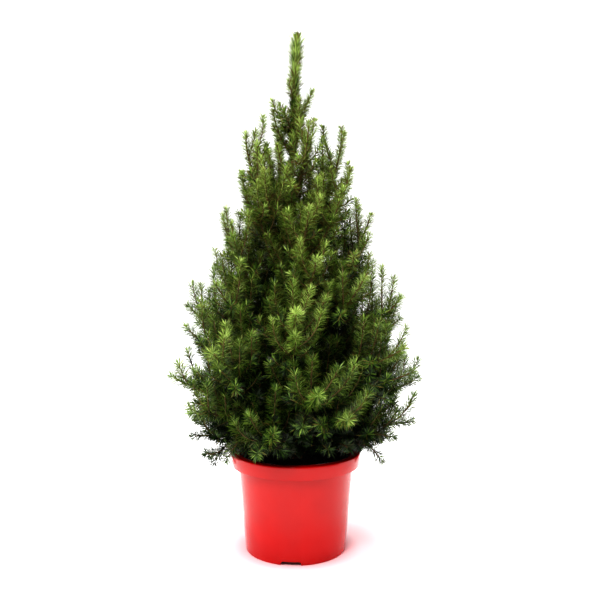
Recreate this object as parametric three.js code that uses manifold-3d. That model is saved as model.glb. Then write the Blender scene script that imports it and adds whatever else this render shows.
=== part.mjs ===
// Potted dwarf spruce in a plastic nursery pot.
// Millimetres, +Z up, origin at the middle of the pot's flat underside.
import * as THREE from "three";
import { mergeVertices } from "three/addons/utils/BufferGeometryUtils.js";
import Module from "manifold-3d";

// ---- Driving dimensions ----
const GAP = 0.3; // between pieces that rest on each other

const POT_HEIGHT = 144;
const LIP_RADIUS = 95;
const LIP_DROP = 19; // height of the lip's skirt
const LIP_DRAFT = 1.6; // how far the skirt narrows downwards
const LIP_ROUND = 2.4; // rounding of the rim's outer edge
const LIP_PLATE = 2.3; // width of the rim's flat inside the wall's line
const SHOULDER_RADIUS = 84; // body just under the lip
const BASE_RADIUS = 73.1;
const BASE_EDGE = 1.2; // chamfer round the base
const WALL = 1.8;
const FLOOR = 2.2;
const FILLET = 2; // inside corner between floor and wall
const POT_SIDES = 36;
const DRAIN = { count: 3, width: 27, height: 5.5, depth: 14, turn: -95 };

const SOIL_TOP = 132;
const SOIL_MOUND = 1.5; // rise of the potting mix towards the trunk, and its fall at the wall
const MOUND_FOOT = 46;
const MOUND_HEAD = 26;
const SOIL_MARGIN = 8; // width of the fall at the wall

const TREE_TOP = 742;
const TRUNK_END = 566; // where the leader's foliage takes over
const TRUNK_RADIUS = 8.2;
const TRUNK_SIDES = 9;
const TRUNK_RINGS = 11;
const FLARE = 3.2; // extra radius at the root flare
const FLARE_HEIGHT = 16;
const LEADER_RADIUS = 2.6;
const TRUNK_BOW = 8.5; // sideways sweep of the trunk
const TRUNK_SWAY = 4;
const TRUNK_LEAN = 2;

const BARE = 0.22; // share of a bough that carries no foliage
const BOUGH_TAPER = 0.55; // bough's radius where it enters its foliage, as a share of its root
const BOUGH_SIDES = 5;
const BOUGH_ROWS = 3;
const CORE_RADIUS = 2.3; // of a shoot, under its needles
const SHOOT_SIDES = 4;
const SHOOT_NOSE = 5; // bud at the tip
const NEEDLE_REACH = 11; // needle tips from the shoot's middle
const NEEDLE_LEAN = 7; // how far the tips lean forward
const ROW = 12; // between rows of needles
const SHORTEST = 26; // shoots under this length are left out

const HEART_START = 0.27; // a heart's ends, as shares of its main shoot
const HEART_END = 0.84;
const HEART_SIDES = 6;
const HEART_ROWS = 6;
const HEART_SINK = 0.6; // radius between the tufts of a heart, as a share of its full radius
const BURIED = 0.8; // share of a heart's radius inside which shoots carry no needles

const CLEAR = 1.2; // kept between the foliage of two masses
const BEAD_STEP = 4; // spacing of the places that a shoot takes up
const ROOT_SHARE = 0.2; // share of a shoot, at its root, that takes up no room

// Side shoots, against the main shoot they spring from.
const OPENING = 44; // degrees between them
const SIDE_ROLL = 26; // degrees above level for a side shoot, and for every third one that grows upward
const UPWARD_ROLL = 78;
const SIDE_LENGTH = { least: 0.24, more: 0.34, jitter: 0.16 }; // shares of the main length, most at its root
const LIFT = { low: 0.42, gain: 0.38 }; // how far they turn up, at the crown's foot and on the way to its top
const FIRST_SIDE = { boughed: 0.3, direct: 0.28 }; // share of the main shoot where the first one springs
const LAST_SIDE = 0.9;
const LEADER_SIDES = { count: 5, start: 0.03, step: 0.055, turn: 35, golden: 137.5, length: 74, shorten: 7 };
const LEADER_OPENING = 43; // degrees
const LEADER_LIFT = 0.75;

// Reach of the crown from the axis against height.
const CROWN = [
  [110, 118], [160, 146], [200, 174], [252, 190], [300, 183], [375, 160],
  [425, 132], [500, 106], [550, 90], [612, 74], [640, 40], [680, 26], [742, 8],
];

// Whorls of boughs from the soil up: boughs, turn of the first and step to the next in degrees, heights of
// the first root and of the tips, place of the bend as a share of the reach and a rise, radius at the root,
// heart's radius, side shoots.
const WHORLS = [
  ["skirt", 3, 4, 88, 158, 124, 0.62, 44, 4.2, 15, 4],
  ["low", 4, -16, 90, 172, 184, 0.6, 12, 5, 27, 4],
  ["wide", 4, 10, 90, 194, 252, 0.64, 16, 5, 30, 4],
  ["shoulder", 4, 54, 90, 222, 306, 0.66, 26, 5, 30, 4],
  ["waist", 4, -2, 90, 260, 364, 0.7, 36, 4.6, 28, 4],
  ["middle", 3, 40, 122, 304, 420, 0.74, 42, 4.3, 26, 4],
  ["upper", 4, 4, 90, 340, 490, 0.8, 50, 4, 20, 4],
  ["high", 4, -20, 90, 404, 546, 0.85, 50, 3.4, 0, 3],
  ["top", 4, 20, 90, 458, 600, 0.88, 44, 3, 0, 3],
].map(([name, count, turn, step, base, tip, out, up, root, heart, sides]) =>
  ({ name, count, turn, step, base, tip, out, up, root, heart, sides }));
const BOUGHED = 6; // whorls from the bottom with boughs of their own; higher foliage springs from the trunk
const CLIMB = 2; // from one root to the next round the lowest whorl, and 1 mm more on each whorl above it
const SEEDS = { whorl: 1009, whorlStep: 97, mass: 5003, massLevel: 331, massStep: 31, leader: 9001 };
const JITTER = { turn: 7, tip: 9, reach: 0.03, roll: 0.35, opening: 0.14, lift: 0.08, place: 0.7 };
const FULL_REACH = 0.96; // a main shoot's tip against the crown's outline, its needles aside
const UP = new THREE.Vector3(0, 0, 1);
const { degToRad } = THREE.MathUtils;

// ---- Tools for closed solids ----
const wasm = await Module();
wasm.setup();

/** A closed three.js geometry as a solid. */
function solidOf(geometry) {
  const bare = geometry.clone();
  bare.deleteAttribute("normal");
  bare.deleteAttribute("uv");
  const merged = mergeVertices(bare, 1e-4);
  return new wasm.Manifold(new wasm.Mesh({
    numProp: 3,
    vertProperties: merged.attributes.position.array,
    triVerts: new Uint32Array(merged.index.array),
  }));
}

/** A solid's largest body with any sealed hollow filled, as a faceted geometry. */
function geometryOf(solid) {
  const body = solid.decompose().reduce((a, b) => (b.volume() > a.volume() ? b : a));
  const mesh = body.getMesh();
  const indexed = new THREE.BufferGeometry();
  indexed.setAttribute("position", new THREE.BufferAttribute(mesh.vertProperties, 3));
  indexed.setIndex(new THREE.BufferAttribute(mesh.triVerts, 1));
  const faceted = indexed.toNonIndexed();
  faceted.computeVertexNormals();
  return faceted;
}

/** A closed solid turned about the Z axis from radius and height pairs. */
function turnedSolid(profile, sides) {
  const turned = new THREE.LatheGeometry(profile.map(([r, z]) => new THREE.Vector2(r, z)), sides);
  turned.rotateX(Math.PI / 2);
  return solidOf(turned);
}

/**
 * A closed rod bent along a curve. shape(column, row) gives a vertex's distance from the curve and how far
 * it leans forward, and nose is how far the middle of the last end stands out.
 */
function bentRod(curve, sides, rows, nose, shape) {
  const rod = new THREE.CylinderGeometry(1, 1, rows, sides, rows);
  const frames = curve.computeFrenetFrames(rows, false);
  const points = curve.getPoints(rows);
  const position = rod.attributes.position;
  const vertex = new THREE.Vector3();
  for (let i = 0; i < position.count; i += 1) {
    vertex.fromBufferAttribute(position, i);
    const row = Math.round(vertex.y + rows / 2);
    const onAxis = Math.hypot(vertex.x, vertex.z) < 0.5;
    const turn = Math.atan2(vertex.x, vertex.z) / (2 * Math.PI);
    const column = Math.round(turn * sides + sides) % sides;
    const [radius, lean] = onAxis ? [0, row === rows ? nose : 0] : shape(column, row);
    const place = points[row].clone().addScaledVector(frames.tangents[row], lean);
    place.addScaledVector(frames.binormals[row], vertex.x * radius);
    place.addScaledVector(frames.normals[row], vertex.z * radius);
    position.setXYZ(i, place.x, place.y, place.z);
  }
  return solidOf(rod);
}

// ---- Pot and soil ----

/** The inner face of the pot's wall at a height. */
function wallInside(z) {
  return BASE_RADIUS + ((SHOULDER_RADIUS - BASE_RADIUS) * z) / (POT_HEIGHT - LIP_DROP) - WALL;
}

/** The pot: a thin turned wall with a hollow overhanging lip, and drain slots through its bottom corner. */
function potSolid() {
  const lipFoot = POT_HEIGHT - LIP_DROP;
  const underPlate = POT_HEIGHT - WALL;
  const turned = turnedSolid([
    [0, 0],
    [BASE_RADIUS - BASE_EDGE, 0],
    [BASE_RADIUS, BASE_EDGE],
    [SHOULDER_RADIUS, lipFoot],
    [SHOULDER_RADIUS + LIP_DRAFT, underPlate],
    [LIP_RADIUS - WALL, underPlate],
    [LIP_RADIUS - WALL - LIP_DRAFT, lipFoot],
    [LIP_RADIUS - LIP_DRAFT, lipFoot],
    [LIP_RADIUS, POT_HEIGHT - LIP_ROUND],
    [LIP_RADIUS - 0.3 * LIP_ROUND, POT_HEIGHT - 0.3 * LIP_ROUND],
    [LIP_RADIUS - LIP_ROUND, POT_HEIGHT],
    [SHOULDER_RADIUS - LIP_PLATE + LIP_DRAFT, POT_HEIGHT],
    [wallInside(lipFoot), lipFoot],
    [wallInside(FLOOR + FILLET), FLOOR + FILLET],
    [wallInside(FLOOR) - FILLET, FLOOR],
    [0, FLOOR],
  ], POT_SIDES);
  const slots = Array.from({ length: DRAIN.count }, (_, k) => {
    const slot = new THREE.BoxGeometry(DRAIN.depth * 2, DRAIN.width, DRAIN.height * 2);
    slot.translate(BASE_RADIUS, 0, 0);
    slot.rotateZ(degToRad(DRAIN.turn + (360 * k) / DRAIN.count));
    return solidOf(slot);
  });
  return slots.reduce((pot, slot) => pot.subtract(slot), turned);
}

/** The potting mix, filling the pot to a finger's width under the rim. */
function soilSolid() {
  const wallGap = 2 * GAP;
  const wallTop = wallInside(SOIL_TOP) - SOIL_MOUND - wallGap;
  return turnedSolid([
    [0, FLOOR + GAP],
    [wallInside(FLOOR) - FILLET - wallGap, FLOOR + GAP],
    [wallInside(FLOOR + FILLET) - wallGap, FLOOR + FILLET + GAP],
    [wallInside(SOIL_TOP - LIP_DROP) - wallGap, SOIL_TOP - LIP_DROP],
    [wallTop, SOIL_TOP],
    [wallTop - SOIL_MARGIN, SOIL_TOP - SOIL_MOUND],
    [MOUND_FOOT, SOIL_TOP],
    [MOUND_HEAD, SOIL_TOP + SOIL_MOUND],
    [0, SOIL_TOP + SOIL_MOUND],
  ], POT_SIDES / 2);
}

/** How far a point is from the pot and its soil. */
function potDistance(point) {
  const out = Math.hypot(point.x, point.y) - LIP_RADIUS;
  const above = point.z - POT_HEIGHT;
  if (out <= 0) return above;
  return above <= 0 ? out : Math.hypot(out, above);
}

// ---- Trunk ----

/** The middle of the trunk at a height. */
function trunkAt(z) {
  const share = (z - SOIL_TOP) / (TREE_TOP - SOIL_TOP);
  const x = TRUNK_LEAN * share - TRUNK_BOW * Math.sin(Math.PI * share);
  return new THREE.Vector3(x, TRUNK_SWAY * Math.sin(1.5 * Math.PI * share), z);
}

/** The trunk's radius at a height, with its root flare. */
function trunkRadius(z) {
  const share = (z - SOIL_TOP) / (TRUNK_END - SOIL_TOP);
  const flare = FLARE * Math.exp((SOIL_TOP - z) / FLARE_HEIGHT);
  return TRUNK_RADIUS + (LEADER_RADIUS - TRUNK_RADIUS) * share + flare;
}

/** The trunk, with level rings closest at its flat cut on the soil, made wider all round by grow. */
function trunkSolid(grow) {
  const column = new THREE.CylinderGeometry(1, 1, 1, TRUNK_SIDES, TRUNK_RINGS);
  column.rotateX(Math.PI / 2);
  const position = column.attributes.position;
  const foot = SOIL_TOP + SOIL_MOUND + GAP - grow;
  for (let i = 0; i < position.count; i += 1) {
    const share = (position.getZ(i) + 0.5) ** 1.5;
    const z = foot + (TRUNK_END + grow - foot) * share;
    const radius = trunkRadius(z) + grow;
    const middle = trunkAt(z);
    position.setXYZ(i, middle.x + position.getX(i) * radius, middle.y + position.getY(i) * radius, z);
  }
  return solidOf(column);
}

// ---- The growth rule ----

/** Repeatable numbers. */
class Seeded {
  constructor(seed) {
    this.state = seed;
  }

  /** A number between 0 and 1. */
  next() {
    this.state = (this.state * 48271) % 2147483647;
    return this.state / 2147483647;
  }

  /** A number between -amount and amount. */
  spread(amount) {
    return (2 * this.next() - 1) * amount;
  }
}

/** The crown's reach at a height. */
function crownReach(z) {
  const above = CROWN.findIndex(([height]) => height > z);
  if (above === 0) return CROWN[0][1];
  if (above < 0) return CROWN[CROWN.length - 1][1];
  const [z0, r0] = CROWN[above - 1];
  const [z1, r1] = CROWN[above];
  return r0 + ((r1 - r0) * (z - z0)) / (z1 - z0);
}

/** The part of a curve from one share of it to another. */
function stretch(curve, from, to) {
  const first = curve.v1.clone().sub(curve.v0);
  const second = curve.v2.clone().sub(curve.v1);
  const start = curve.getPoint(from);
  const knee = start.clone().addScaledVector(first.lerp(second, from), to - from);
  return new THREE.QuadraticBezierCurve3(start, knee, curve.getPoint(to));
}

/** The masses of one whorl, each with its main shoot from the trunk to the crown's edge. */
function whorlMasses(whorl, level) {
  const chance = new Seeded(SEEDS.whorl + SEEDS.whorlStep * level);
  return Array.from({ length: whorl.count }, (_, k) => {
    const angle = degToRad(whorl.turn + whorl.step * k + chance.spread(JITTER.turn));
    const tipHeight = whorl.tip + chance.spread(JITTER.tip);
    const reach = crownReach(tipHeight) * (FULL_REACH + chance.spread(JITTER.reach));
    const out = new THREE.Vector3(Math.cos(angle), Math.sin(angle), 0);
    const root = trunkAt(whorl.base + (CLIMB + level) * k);
    const knee = root.clone().addScaledVector(out, reach * whorl.out).addScaledVector(UP, whorl.up);
    const tip = out.clone().multiplyScalar(reach).setZ(tipHeight);
    const curve = new THREE.QuadraticBezierCurve3(root, knee, tip);
    const boughed = level < BOUGHED;
    return {
      name: `${whorl.name}_${k + 1}`,
      seed: SEEDS.mass + SEEDS.massLevel * level + SEEDS.massStep * k,
      startRadius: whorl.root * (boughed ? BOUGH_TAPER : 0.8),
      bareRows: boughed ? 1 : 2,
      stem: boughed ? stretch(curve, BARE + GAP / curve.getLength(), 1) : curve,
      whorl, level, boughed, curve,
    };
  });
}

/** The mass at the top, whose main shoot carries the trunk on to the tree's tip. */
function leaderMass() {
  const knee = trunkAt((TRUNK_END + TREE_TOP) / 2);
  const curve = new THREE.QuadraticBezierCurve3(trunkAt(TRUNK_END + GAP), knee, trunkAt(TREE_TOP));
  return {
    name: "leader",
    startRadius: LEADER_RADIUS,
    bareRows: 0,
    stem: curve,
    level: WHORLS.length,
    boughed: false,
    curve,
  };
}

/** A shoot that springs from a parent's curve, turns up to the light and stays within the crown. */
function sideShoot(parent, share, roll, opening, length, lift) {
  const along = parent.getTangent(share);
  const side = along.clone().cross(UP).normalize();
  const above = side.clone().cross(along);
  const around = side.multiplyScalar(Math.cos(roll)).addScaledVector(above, Math.sin(roll));
  const way = along.multiplyScalar(Math.cos(opening)).addScaledVector(around, Math.sin(opening));
  const end = way.clone().lerp(UP, lift).normalize();
  const start = parent.getPoint(share);
  let half = length / 2;
  let knee = start.clone().addScaledVector(way, half);
  let tip = knee.clone().addScaledVector(end, half);
  while (half > 0.4 * SHORTEST && Math.hypot(tip.x, tip.y) > crownReach(tip.z)) {
    half *= 0.9;
    knee = start.clone().addScaledVector(way, half);
    tip = knee.clone().addScaledVector(end, half);
  }
  return new THREE.QuadraticBezierCurve3(start, knee, tip);
}

/** The side shoots that a mass would like to grow from its main shoot. */
function wantedShoots(mass) {
  const chance = new Seeded(mass.seed);
  const total = mass.curve.getLength();
  const height = (mass.curve.v2.z - POT_HEIGHT) / (TREE_TOP - POT_HEIGHT);
  const first = mass.boughed ? FIRST_SIDE.boughed : FIRST_SIDE.direct;
  return Array.from({ length: mass.whorl.sides }, (_, k) => {
    const place = (k + JITTER.place * chance.next()) / mass.whorl.sides;
    const share = first + (LAST_SIDE - first) * place;
    const above = degToRad(k % 3 === 2 ? UPWARD_ROLL : SIDE_ROLL) + chance.spread(JITTER.roll);
    const roll = k % 2 === 0 ? above : Math.PI - above;
    const opening = degToRad(OPENING) + chance.spread(JITTER.opening);
    const part = SIDE_LENGTH.least + SIDE_LENGTH.more * (1 - share);
    const length = total * part * (1 + chance.spread(SIDE_LENGTH.jitter));
    const lift = LIFT.low + LIFT.gain * height + chance.spread(JITTER.lift);
    return sideShoot(mass.curve, share, roll, opening, length, lift);
  });
}

/** The leader's small side shoots, winding round its foot. */
function leaderShoots(leader) {
  const chance = new Seeded(SEEDS.leader);
  const { count, start, step, turn, golden, length, shorten } = LEADER_SIDES;
  return Array.from({ length: count }, (_, k) => {
    const roll = degToRad(turn + golden * k);
    const reach = length - shorten * k + chance.spread(shorten);
    return sideShoot(leader.curve, start + step * k, roll, degToRad(LEADER_OPENING), reach, LEADER_LIFT);
  });
}

/** The places already taken in the crown, each a ball with an owner and a turn in which it was taken. */
class Room {
  constructor() {
    this.balls = [];
    this.turn = 0;
  }

  /** Starts the next turn and tells its number. */
  nextTurn() {
    this.turn += 1;
    return this.turn;
  }

  /** Takes up one place. */
  takeBall(at, radius, owner) {
    this.balls.push({ at, radius, owner, turn: this.turn });
  }

  /** Takes up the room along a curve. */
  take(curve, radius, owner) {
    const points = curve.getPoints(Math.ceil(curve.getLength() / BEAD_STEP));
    points.forEach((at) => this.takeBall(at, radius, owner));
  }

  /** The distance from a point to the nearest place that another owner took before a turn. */
  distance(point, owner, turn) {
    const others = this.balls.filter((ball) => ball.owner !== owner && ball.turn < turn);
    const distances = others.map((ball) => ball.at.distanceTo(point) - ball.radius);
    return Math.min(potDistance(point), ...distances);
  }

  /** Whether a shoot's core keeps clear of all other owners' places. */
  fits(curve, owner) {
    const points = curve.getPoints(Math.ceil(curve.getLength() / BEAD_STEP));
    return points.every((point) => this.distance(point, owner, this.turn) > CORE_RADIUS + 2 * CLEAR);
  }
}

/** Lets all masses grow: limbs and main shoots first, then hearts, then side shoots one by one in turn. */
function growCrown(masses, room) {
  const trunkHeights = Array.from({ length: 9 }, (_, k) => SOIL_TOP + ((TRUNK_END - SOIL_TOP) * k) / 8);
  room.take(new THREE.CatmullRomCurve3(trunkHeights.map(trunkAt)), TRUNK_RADIUS, "trunk");
  masses.filter((mass) => mass.whorl).forEach((mass) => {
    mass.turn = room.nextTurn();
    room.take(stretch(mass.curve, 0, BARE), mass.whorl.root, `bough_${mass.name}`);
    room.take(stretch(mass.curve, BARE, 1), NEEDLE_REACH, mass.name);
  });
  const leader = masses[masses.length - 1];
  leader.turn = room.nextTurn();
  room.take(leader.curve, NEEDLE_REACH, leader.name);
  masses.filter((mass) => mass.boughed || mass.whorl?.heart).forEach((mass) => {
    const turn = room.nextTurn();
    mass.heart = heartOf(mass, turn, room);
    mass.heart.points.forEach((at, row) => room.takeBall(at, mass.heart.radii[row], mass.name));
  });
  const wanted = new Map(masses.map((mass) => [mass, mass.whorl ? wantedShoots(mass) : leaderShoots(mass)]));
  masses.forEach((mass) => {
    mass.shoots = [];
  });
  for (let k = 0; k < LEADER_SIDES.count; k += 1) {
    masses.filter((mass) => k < wanted.get(mass).length).forEach((mass) => {
      const curve = wanted.get(mass)[k];
      const turn = room.nextTurn();
      const free = stretch(curve, ROOT_SHARE, 1);
      if (curve.getLength() < SHORTEST || !room.fits(free, mass.name)) return;
      room.take(free, NEEDLE_REACH, mass.name);
      mass.shoots.push({ curve, turn });
    });
  }
}

// ---- Boughs and foliage ----

/** Where a mass's dense heart lies and how wide it may be, sharing the room evenly with its neighbours. */
function heartOf(mass, turn, room) {
  const curve = stretch(mass.curve, HEART_START, HEART_END);
  const points = curve.getPoints(HEART_ROWS);
  const radii = points.map((point, row) => {
    const wanted = mass.whorl.heart * Math.sin((Math.PI * (row + 0.5)) / (HEART_ROWS + 1));
    const spare = room.distance(point, mass.name, turn) - CLEAR;
    const fair = (spare + NEEDLE_REACH) / 2;
    return Math.max(CORE_RADIUS, Math.min(wanted, spare, fair));
  });
  return { curve, points, radii };
}

/** A heart's solid: tufts side by side, standing out by turns. */
function heartSolid({ curve, radii }) {
  return bentRod(curve, HEART_SIDES, HEART_ROWS, SHOOT_NOSE, (column, row) => {
    const tuft = (column + row) % 2 === 0;
    return tuft ? [radii[row], NEEDLE_LEAN] : [radii[row] * HEART_SINK, 0];
  });
}

/** A shoot: a slim core whose needles stand out by turns and lean forward, except where they'd touch. */
function shootSolid(curve, startRadius, bareRows, mass, turn, room) {
  const rows = Math.max(3, Math.round(curve.getLength() / ROW));
  const points = curve.getPoints(rows);
  const frames = curve.computeFrenetFrames(rows, false);
  const buried = points.map((point) => Boolean(mass.heart)
    && mass.heart.points.some((at, k) => at.distanceTo(point) < mass.heart.radii[k] * BURIED));
  return bentRod(curve, SHOOT_SIDES, rows, SHOOT_NOSE, (column, row) => {
    const share = row / rows;
    const core = startRadius + (CORE_RADIUS - startRadius) * Math.min(1, 2 * share);
    if ((column + row) % 2 !== 0 || row <= bareRows || row === rows || buried[row]) return [core, 0];
    const reach = NEEDLE_REACH * (1 - 0.25 * share ** 4);
    const angle = (2 * Math.PI * column) / SHOOT_SIDES;
    const tip = points[row].clone().addScaledVector(frames.tangents[row], NEEDLE_LEAN);
    tip.addScaledVector(frames.binormals[row], Math.sin(angle) * reach);
    tip.addScaledVector(frames.normals[row], Math.cos(angle) * reach);
    const middle = tip.clone().lerp(points[row], 0.4);
    const free = [tip, middle].every((at) => room.distance(at, mass.name, turn) > CLEAR);
    return free ? [reach, NEEDLE_LEAN] : [core, 0];
  });
}

/** A bough: one bare tapering limb from the trunk to its foliage. */
function boughSolid(mass, trunkCollar) {
  const { root } = mass.whorl;
  const limb = bentRod(stretch(mass.curve, 0, BARE), BOUGH_SIDES, BOUGH_ROWS, 0, (_, row) =>
    [root * (1 - ((1 - BOUGH_TAPER) * row) / BOUGH_ROWS), 0]);
  return limb.subtract(trunkCollar);
}

/** A mass of foliage: its main shoot, its heart and its side shoots in one. */
function foliageSolid(mass, room, trunkCollar) {
  const stem = shootSolid(mass.stem, mass.startRadius, mass.bareRows, mass, mass.turn, room);
  const parts = mass.shoots.map(({ curve, turn }) => shootSolid(curve, CORE_RADIUS, 1, mass, turn, room));
  if (mass.heart) parts.push(heartSolid(mass.heart));
  const whole = parts.reduce((a, b) => a.add(b), stem);
  return mass.boughed ? whole : whole.subtract(trunkCollar);
}

// ---- Assembly ----
const MATERIALS = {
  pot: new THREE.MeshStandardMaterial({ color: 0xdf2a25, roughness: 0.22, metalness: 0 }),
  soil: new THREE.MeshStandardMaterial({ color: 0x1d1510, roughness: 1, metalness: 0 }),
  bark: new THREE.MeshStandardMaterial({ color: 0x6b452c, roughness: 0.85, metalness: 0 }),
  oldNeedles: new THREE.MeshStandardMaterial({ color: 0x2c4a24, roughness: 0.6, metalness: 0 }),
  needles: new THREE.MeshStandardMaterial({ color: 0x3f6429, roughness: 0.6, metalness: 0 }),
  freshNeedles: new THREE.MeshStandardMaterial({ color: 0x5b8232, roughness: 0.6, metalness: 0 }),
};
const OLD_WHORLS = 2; // whorls with the darkest foliage

/** A mass's material: darkest at the foot of the crown, freshest at its top. */
function foliageMaterial(mass) {
  if (mass.level < OLD_WHORLS) return MATERIALS.oldNeedles;
  return mass.boughed ? MATERIALS.needles : MATERIALS.freshNeedles;
}

const group = new THREE.Group();

/** Adds one named piece. */
function addPiece(name, solid, material) {
  const mesh = new THREE.Mesh(geometryOf(solid), material);
  mesh.name = name;
  group.add(mesh);
}

const masses = [...WHORLS.flatMap(whorlMasses), leaderMass()];
const room = new Room();
growCrown(masses, room);
const trunkCollar = trunkSolid(GAP);

addPiece("pot", potSolid(), MATERIALS.pot);
addPiece("soil", soilSolid(), MATERIALS.soil);
addPiece("trunk", trunkSolid(0), MATERIALS.bark);
masses.filter((mass) => mass.boughed).forEach((mass) => {
  addPiece(`bough_${mass.name}`, boughSolid(mass, trunkCollar), MATERIALS.bark);
});
masses.forEach((mass) => {
  addPiece(`foliage_${mass.name}`, foliageSolid(mass, room, trunkCollar), foliageMaterial(mass));
});

export default group;
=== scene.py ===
"""Potted dwarf spruce: a young conical evergreen in a glossy moulded nursery pot.

The crown grows by the seeded rule that its solids follow, carried on to finer twigs and single needles.
The rule is worked in millimetres and every mesh is made in metres, in the frame's own axes.
"""

import logging
import math
from dataclasses import dataclass, field
from enum import Enum
from typing import Iterable, Sequence

import bmesh
import bpy
import numpy as np
from mathutils import Matrix, Vector, noise


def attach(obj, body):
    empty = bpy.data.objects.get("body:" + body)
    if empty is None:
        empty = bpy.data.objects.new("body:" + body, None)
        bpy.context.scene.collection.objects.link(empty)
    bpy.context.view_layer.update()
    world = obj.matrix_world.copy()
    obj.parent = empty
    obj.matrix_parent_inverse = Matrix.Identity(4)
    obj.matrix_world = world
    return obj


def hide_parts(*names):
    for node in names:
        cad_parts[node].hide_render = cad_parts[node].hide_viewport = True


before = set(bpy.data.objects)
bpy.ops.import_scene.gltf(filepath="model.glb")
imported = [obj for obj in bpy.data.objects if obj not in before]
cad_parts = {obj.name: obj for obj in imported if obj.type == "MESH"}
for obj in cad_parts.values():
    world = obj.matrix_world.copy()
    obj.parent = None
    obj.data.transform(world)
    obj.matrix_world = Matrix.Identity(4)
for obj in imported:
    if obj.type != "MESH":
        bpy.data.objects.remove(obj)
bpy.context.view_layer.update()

LOG = logging.getLogger("dwarf_spruce")
MM = 0.001
UP = np.array([0.0, 0.0, 1.0])
BODY = "root"


# ---------------------------------------------------------------- shader tools


class Sock:
    """A shader socket that takes part in Python sums."""

    def __init__(self, nodes: "Nodes", socket: bpy.types.NodeSocket) -> None:
        """Wraps one output socket of a node tree."""
        self.nodes = nodes
        self.socket = socket

    def _math(self, operation: str, first: "Value", second: "Value") -> "Sock":
        """Adds a Math node on two values."""
        return self.nodes.node("ShaderNodeMath", {"operation": operation}, {0: first, 1: second})

    def __add__(self, other: "Value") -> "Sock":
        """Returns the sum."""
        return self._math("ADD", self, other)

    __radd__ = __add__

    def __mul__(self, other: "Value") -> "Sock":
        """Returns the product."""
        return self._math("MULTIPLY", self, other)

    __rmul__ = __mul__

    def __sub__(self, other: "Value") -> "Sock":
        """Returns the difference."""
        return self._math("SUBTRACT", self, other)

    def __rsub__(self, other: "Value") -> "Sock":
        """Returns the reflected difference."""
        return self._math("SUBTRACT", other, self)


Value = Sock | float | tuple[float, ...]
Colour = tuple[float, float, float]
Place = tuple[float, float, float]


class Nodes:
    """A node tree, of a material or of the world."""

    def __init__(self, tree: bpy.types.NodeTree) -> None:
        """Takes up a tree."""
        self.tree = tree

    def node(self, kind: str, settings: dict, inputs: dict, output: int | str = 0) -> Sock:
        """Adds one node.

        Args:
            kind: the node's type.
            settings: attributes of the node, set before its sockets.
            inputs: socket names or numbers against values or linked sockets.
            output: the socket to hand on.

        Returns:
            The chosen output.
        """
        made = self.tree.nodes.new(kind)
        for key, value in settings.items():
            setattr(made, key, value)
        for key, value in inputs.items():
            self.feed(made.inputs[key], value)
        return Sock(self, made.outputs[output])

    def feed(self, target: bpy.types.NodeSocket, value: Value) -> None:
        """Links a socket, or sets its constant.

        Args:
            target: the socket to feed.
            value: another node's socket, or a plain number or colour.
        """
        if isinstance(value, Sock):
            self.tree.links.new(value.socket, target)
        else:
            target.default_value = value


class Recipe(Nodes):
    """The node tree of one material, with its surface shader in place."""

    def __init__(self, name: str) -> None:
        """Starts a material of a name."""
        self.material = bpy.data.materials.new(name)
        self.material.use_nodes = True
        super().__init__(self.material.node_tree)
        self.shader = next(n for n in self.tree.nodes if n.type == "BSDF_PRINCIPLED")

    def surface(self, **inputs: Value) -> None:
        """Feeds the surface shader's sockets, named with underscores for spaces."""
        for key, value in inputs.items():
            self.feed(self.shader.inputs[key.replace("_", " ")], value)

    def place(self) -> Sock:
        """Returns the object's own coordinates."""
        return self.node("ShaderNodeTexCoord", {}, {}, "Object")

    def grain(self, scale: float, detail: float = 3.0, stretch: Place = (1, 1, 1)) -> Sock:
        """Adds a cloudy pattern.

        Args:
            scale: waves per metre.
            detail: octaves.
            stretch: scale along each axis.

        Returns:
            A value about 0.5.
        """
        turned = self.node("ShaderNodeMapping", {}, {"Vector": self.place(), "Scale": stretch})
        inputs = {"Vector": turned, "Scale": scale, "Detail": detail}
        return self.node("ShaderNodeTexNoise", {}, inputs)

    def blend(self, mask: Value, low: Value, high: Value) -> Sock:
        """Mixes two colours.

        Args:
            mask: 0 for the first colour, 1 for the second.
            low: the first colour, as three numbers or a socket.
            high: the second colour.

        Returns:
            The mixed colour.
        """
        first, second = (c if isinstance(c, Sock) else (*c, 1.0) for c in (low, high))
        inputs = {"Factor": mask, 6: first, 7: second}
        return self.node("ShaderNodeMix", {"data_type": "RGBA"}, inputs, 2)

    def band(self, value: Value, low: float, high: float) -> Sock:
        """Eases from 0 to 1 as a value passes from low to high.

        Args:
            value: the value.
            low: where the rise starts.
            high: where it ends.

        Returns:
            The eased value.
        """
        settings = {"clamp": True, "interpolation_type": "SMOOTHSTEP"}
        inputs = {"Value": value, "From Min": low, "From Max": high}
        return self.node("ShaderNodeMapRange", settings, inputs)

    def bump(self, height: Value, strength: float, distance: float) -> Sock:
        """Roughens the surface.

        Args:
            height: the relief.
            strength: how much of it shows.
            distance: its depth in metres.

        Returns:
            The roughened normal.
        """
        inputs = {"Height": height, "Strength": strength, "Distance": distance}
        return self.node("ShaderNodeBump", {}, inputs)


# ---------------------------------------------------------------- finishes


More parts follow.
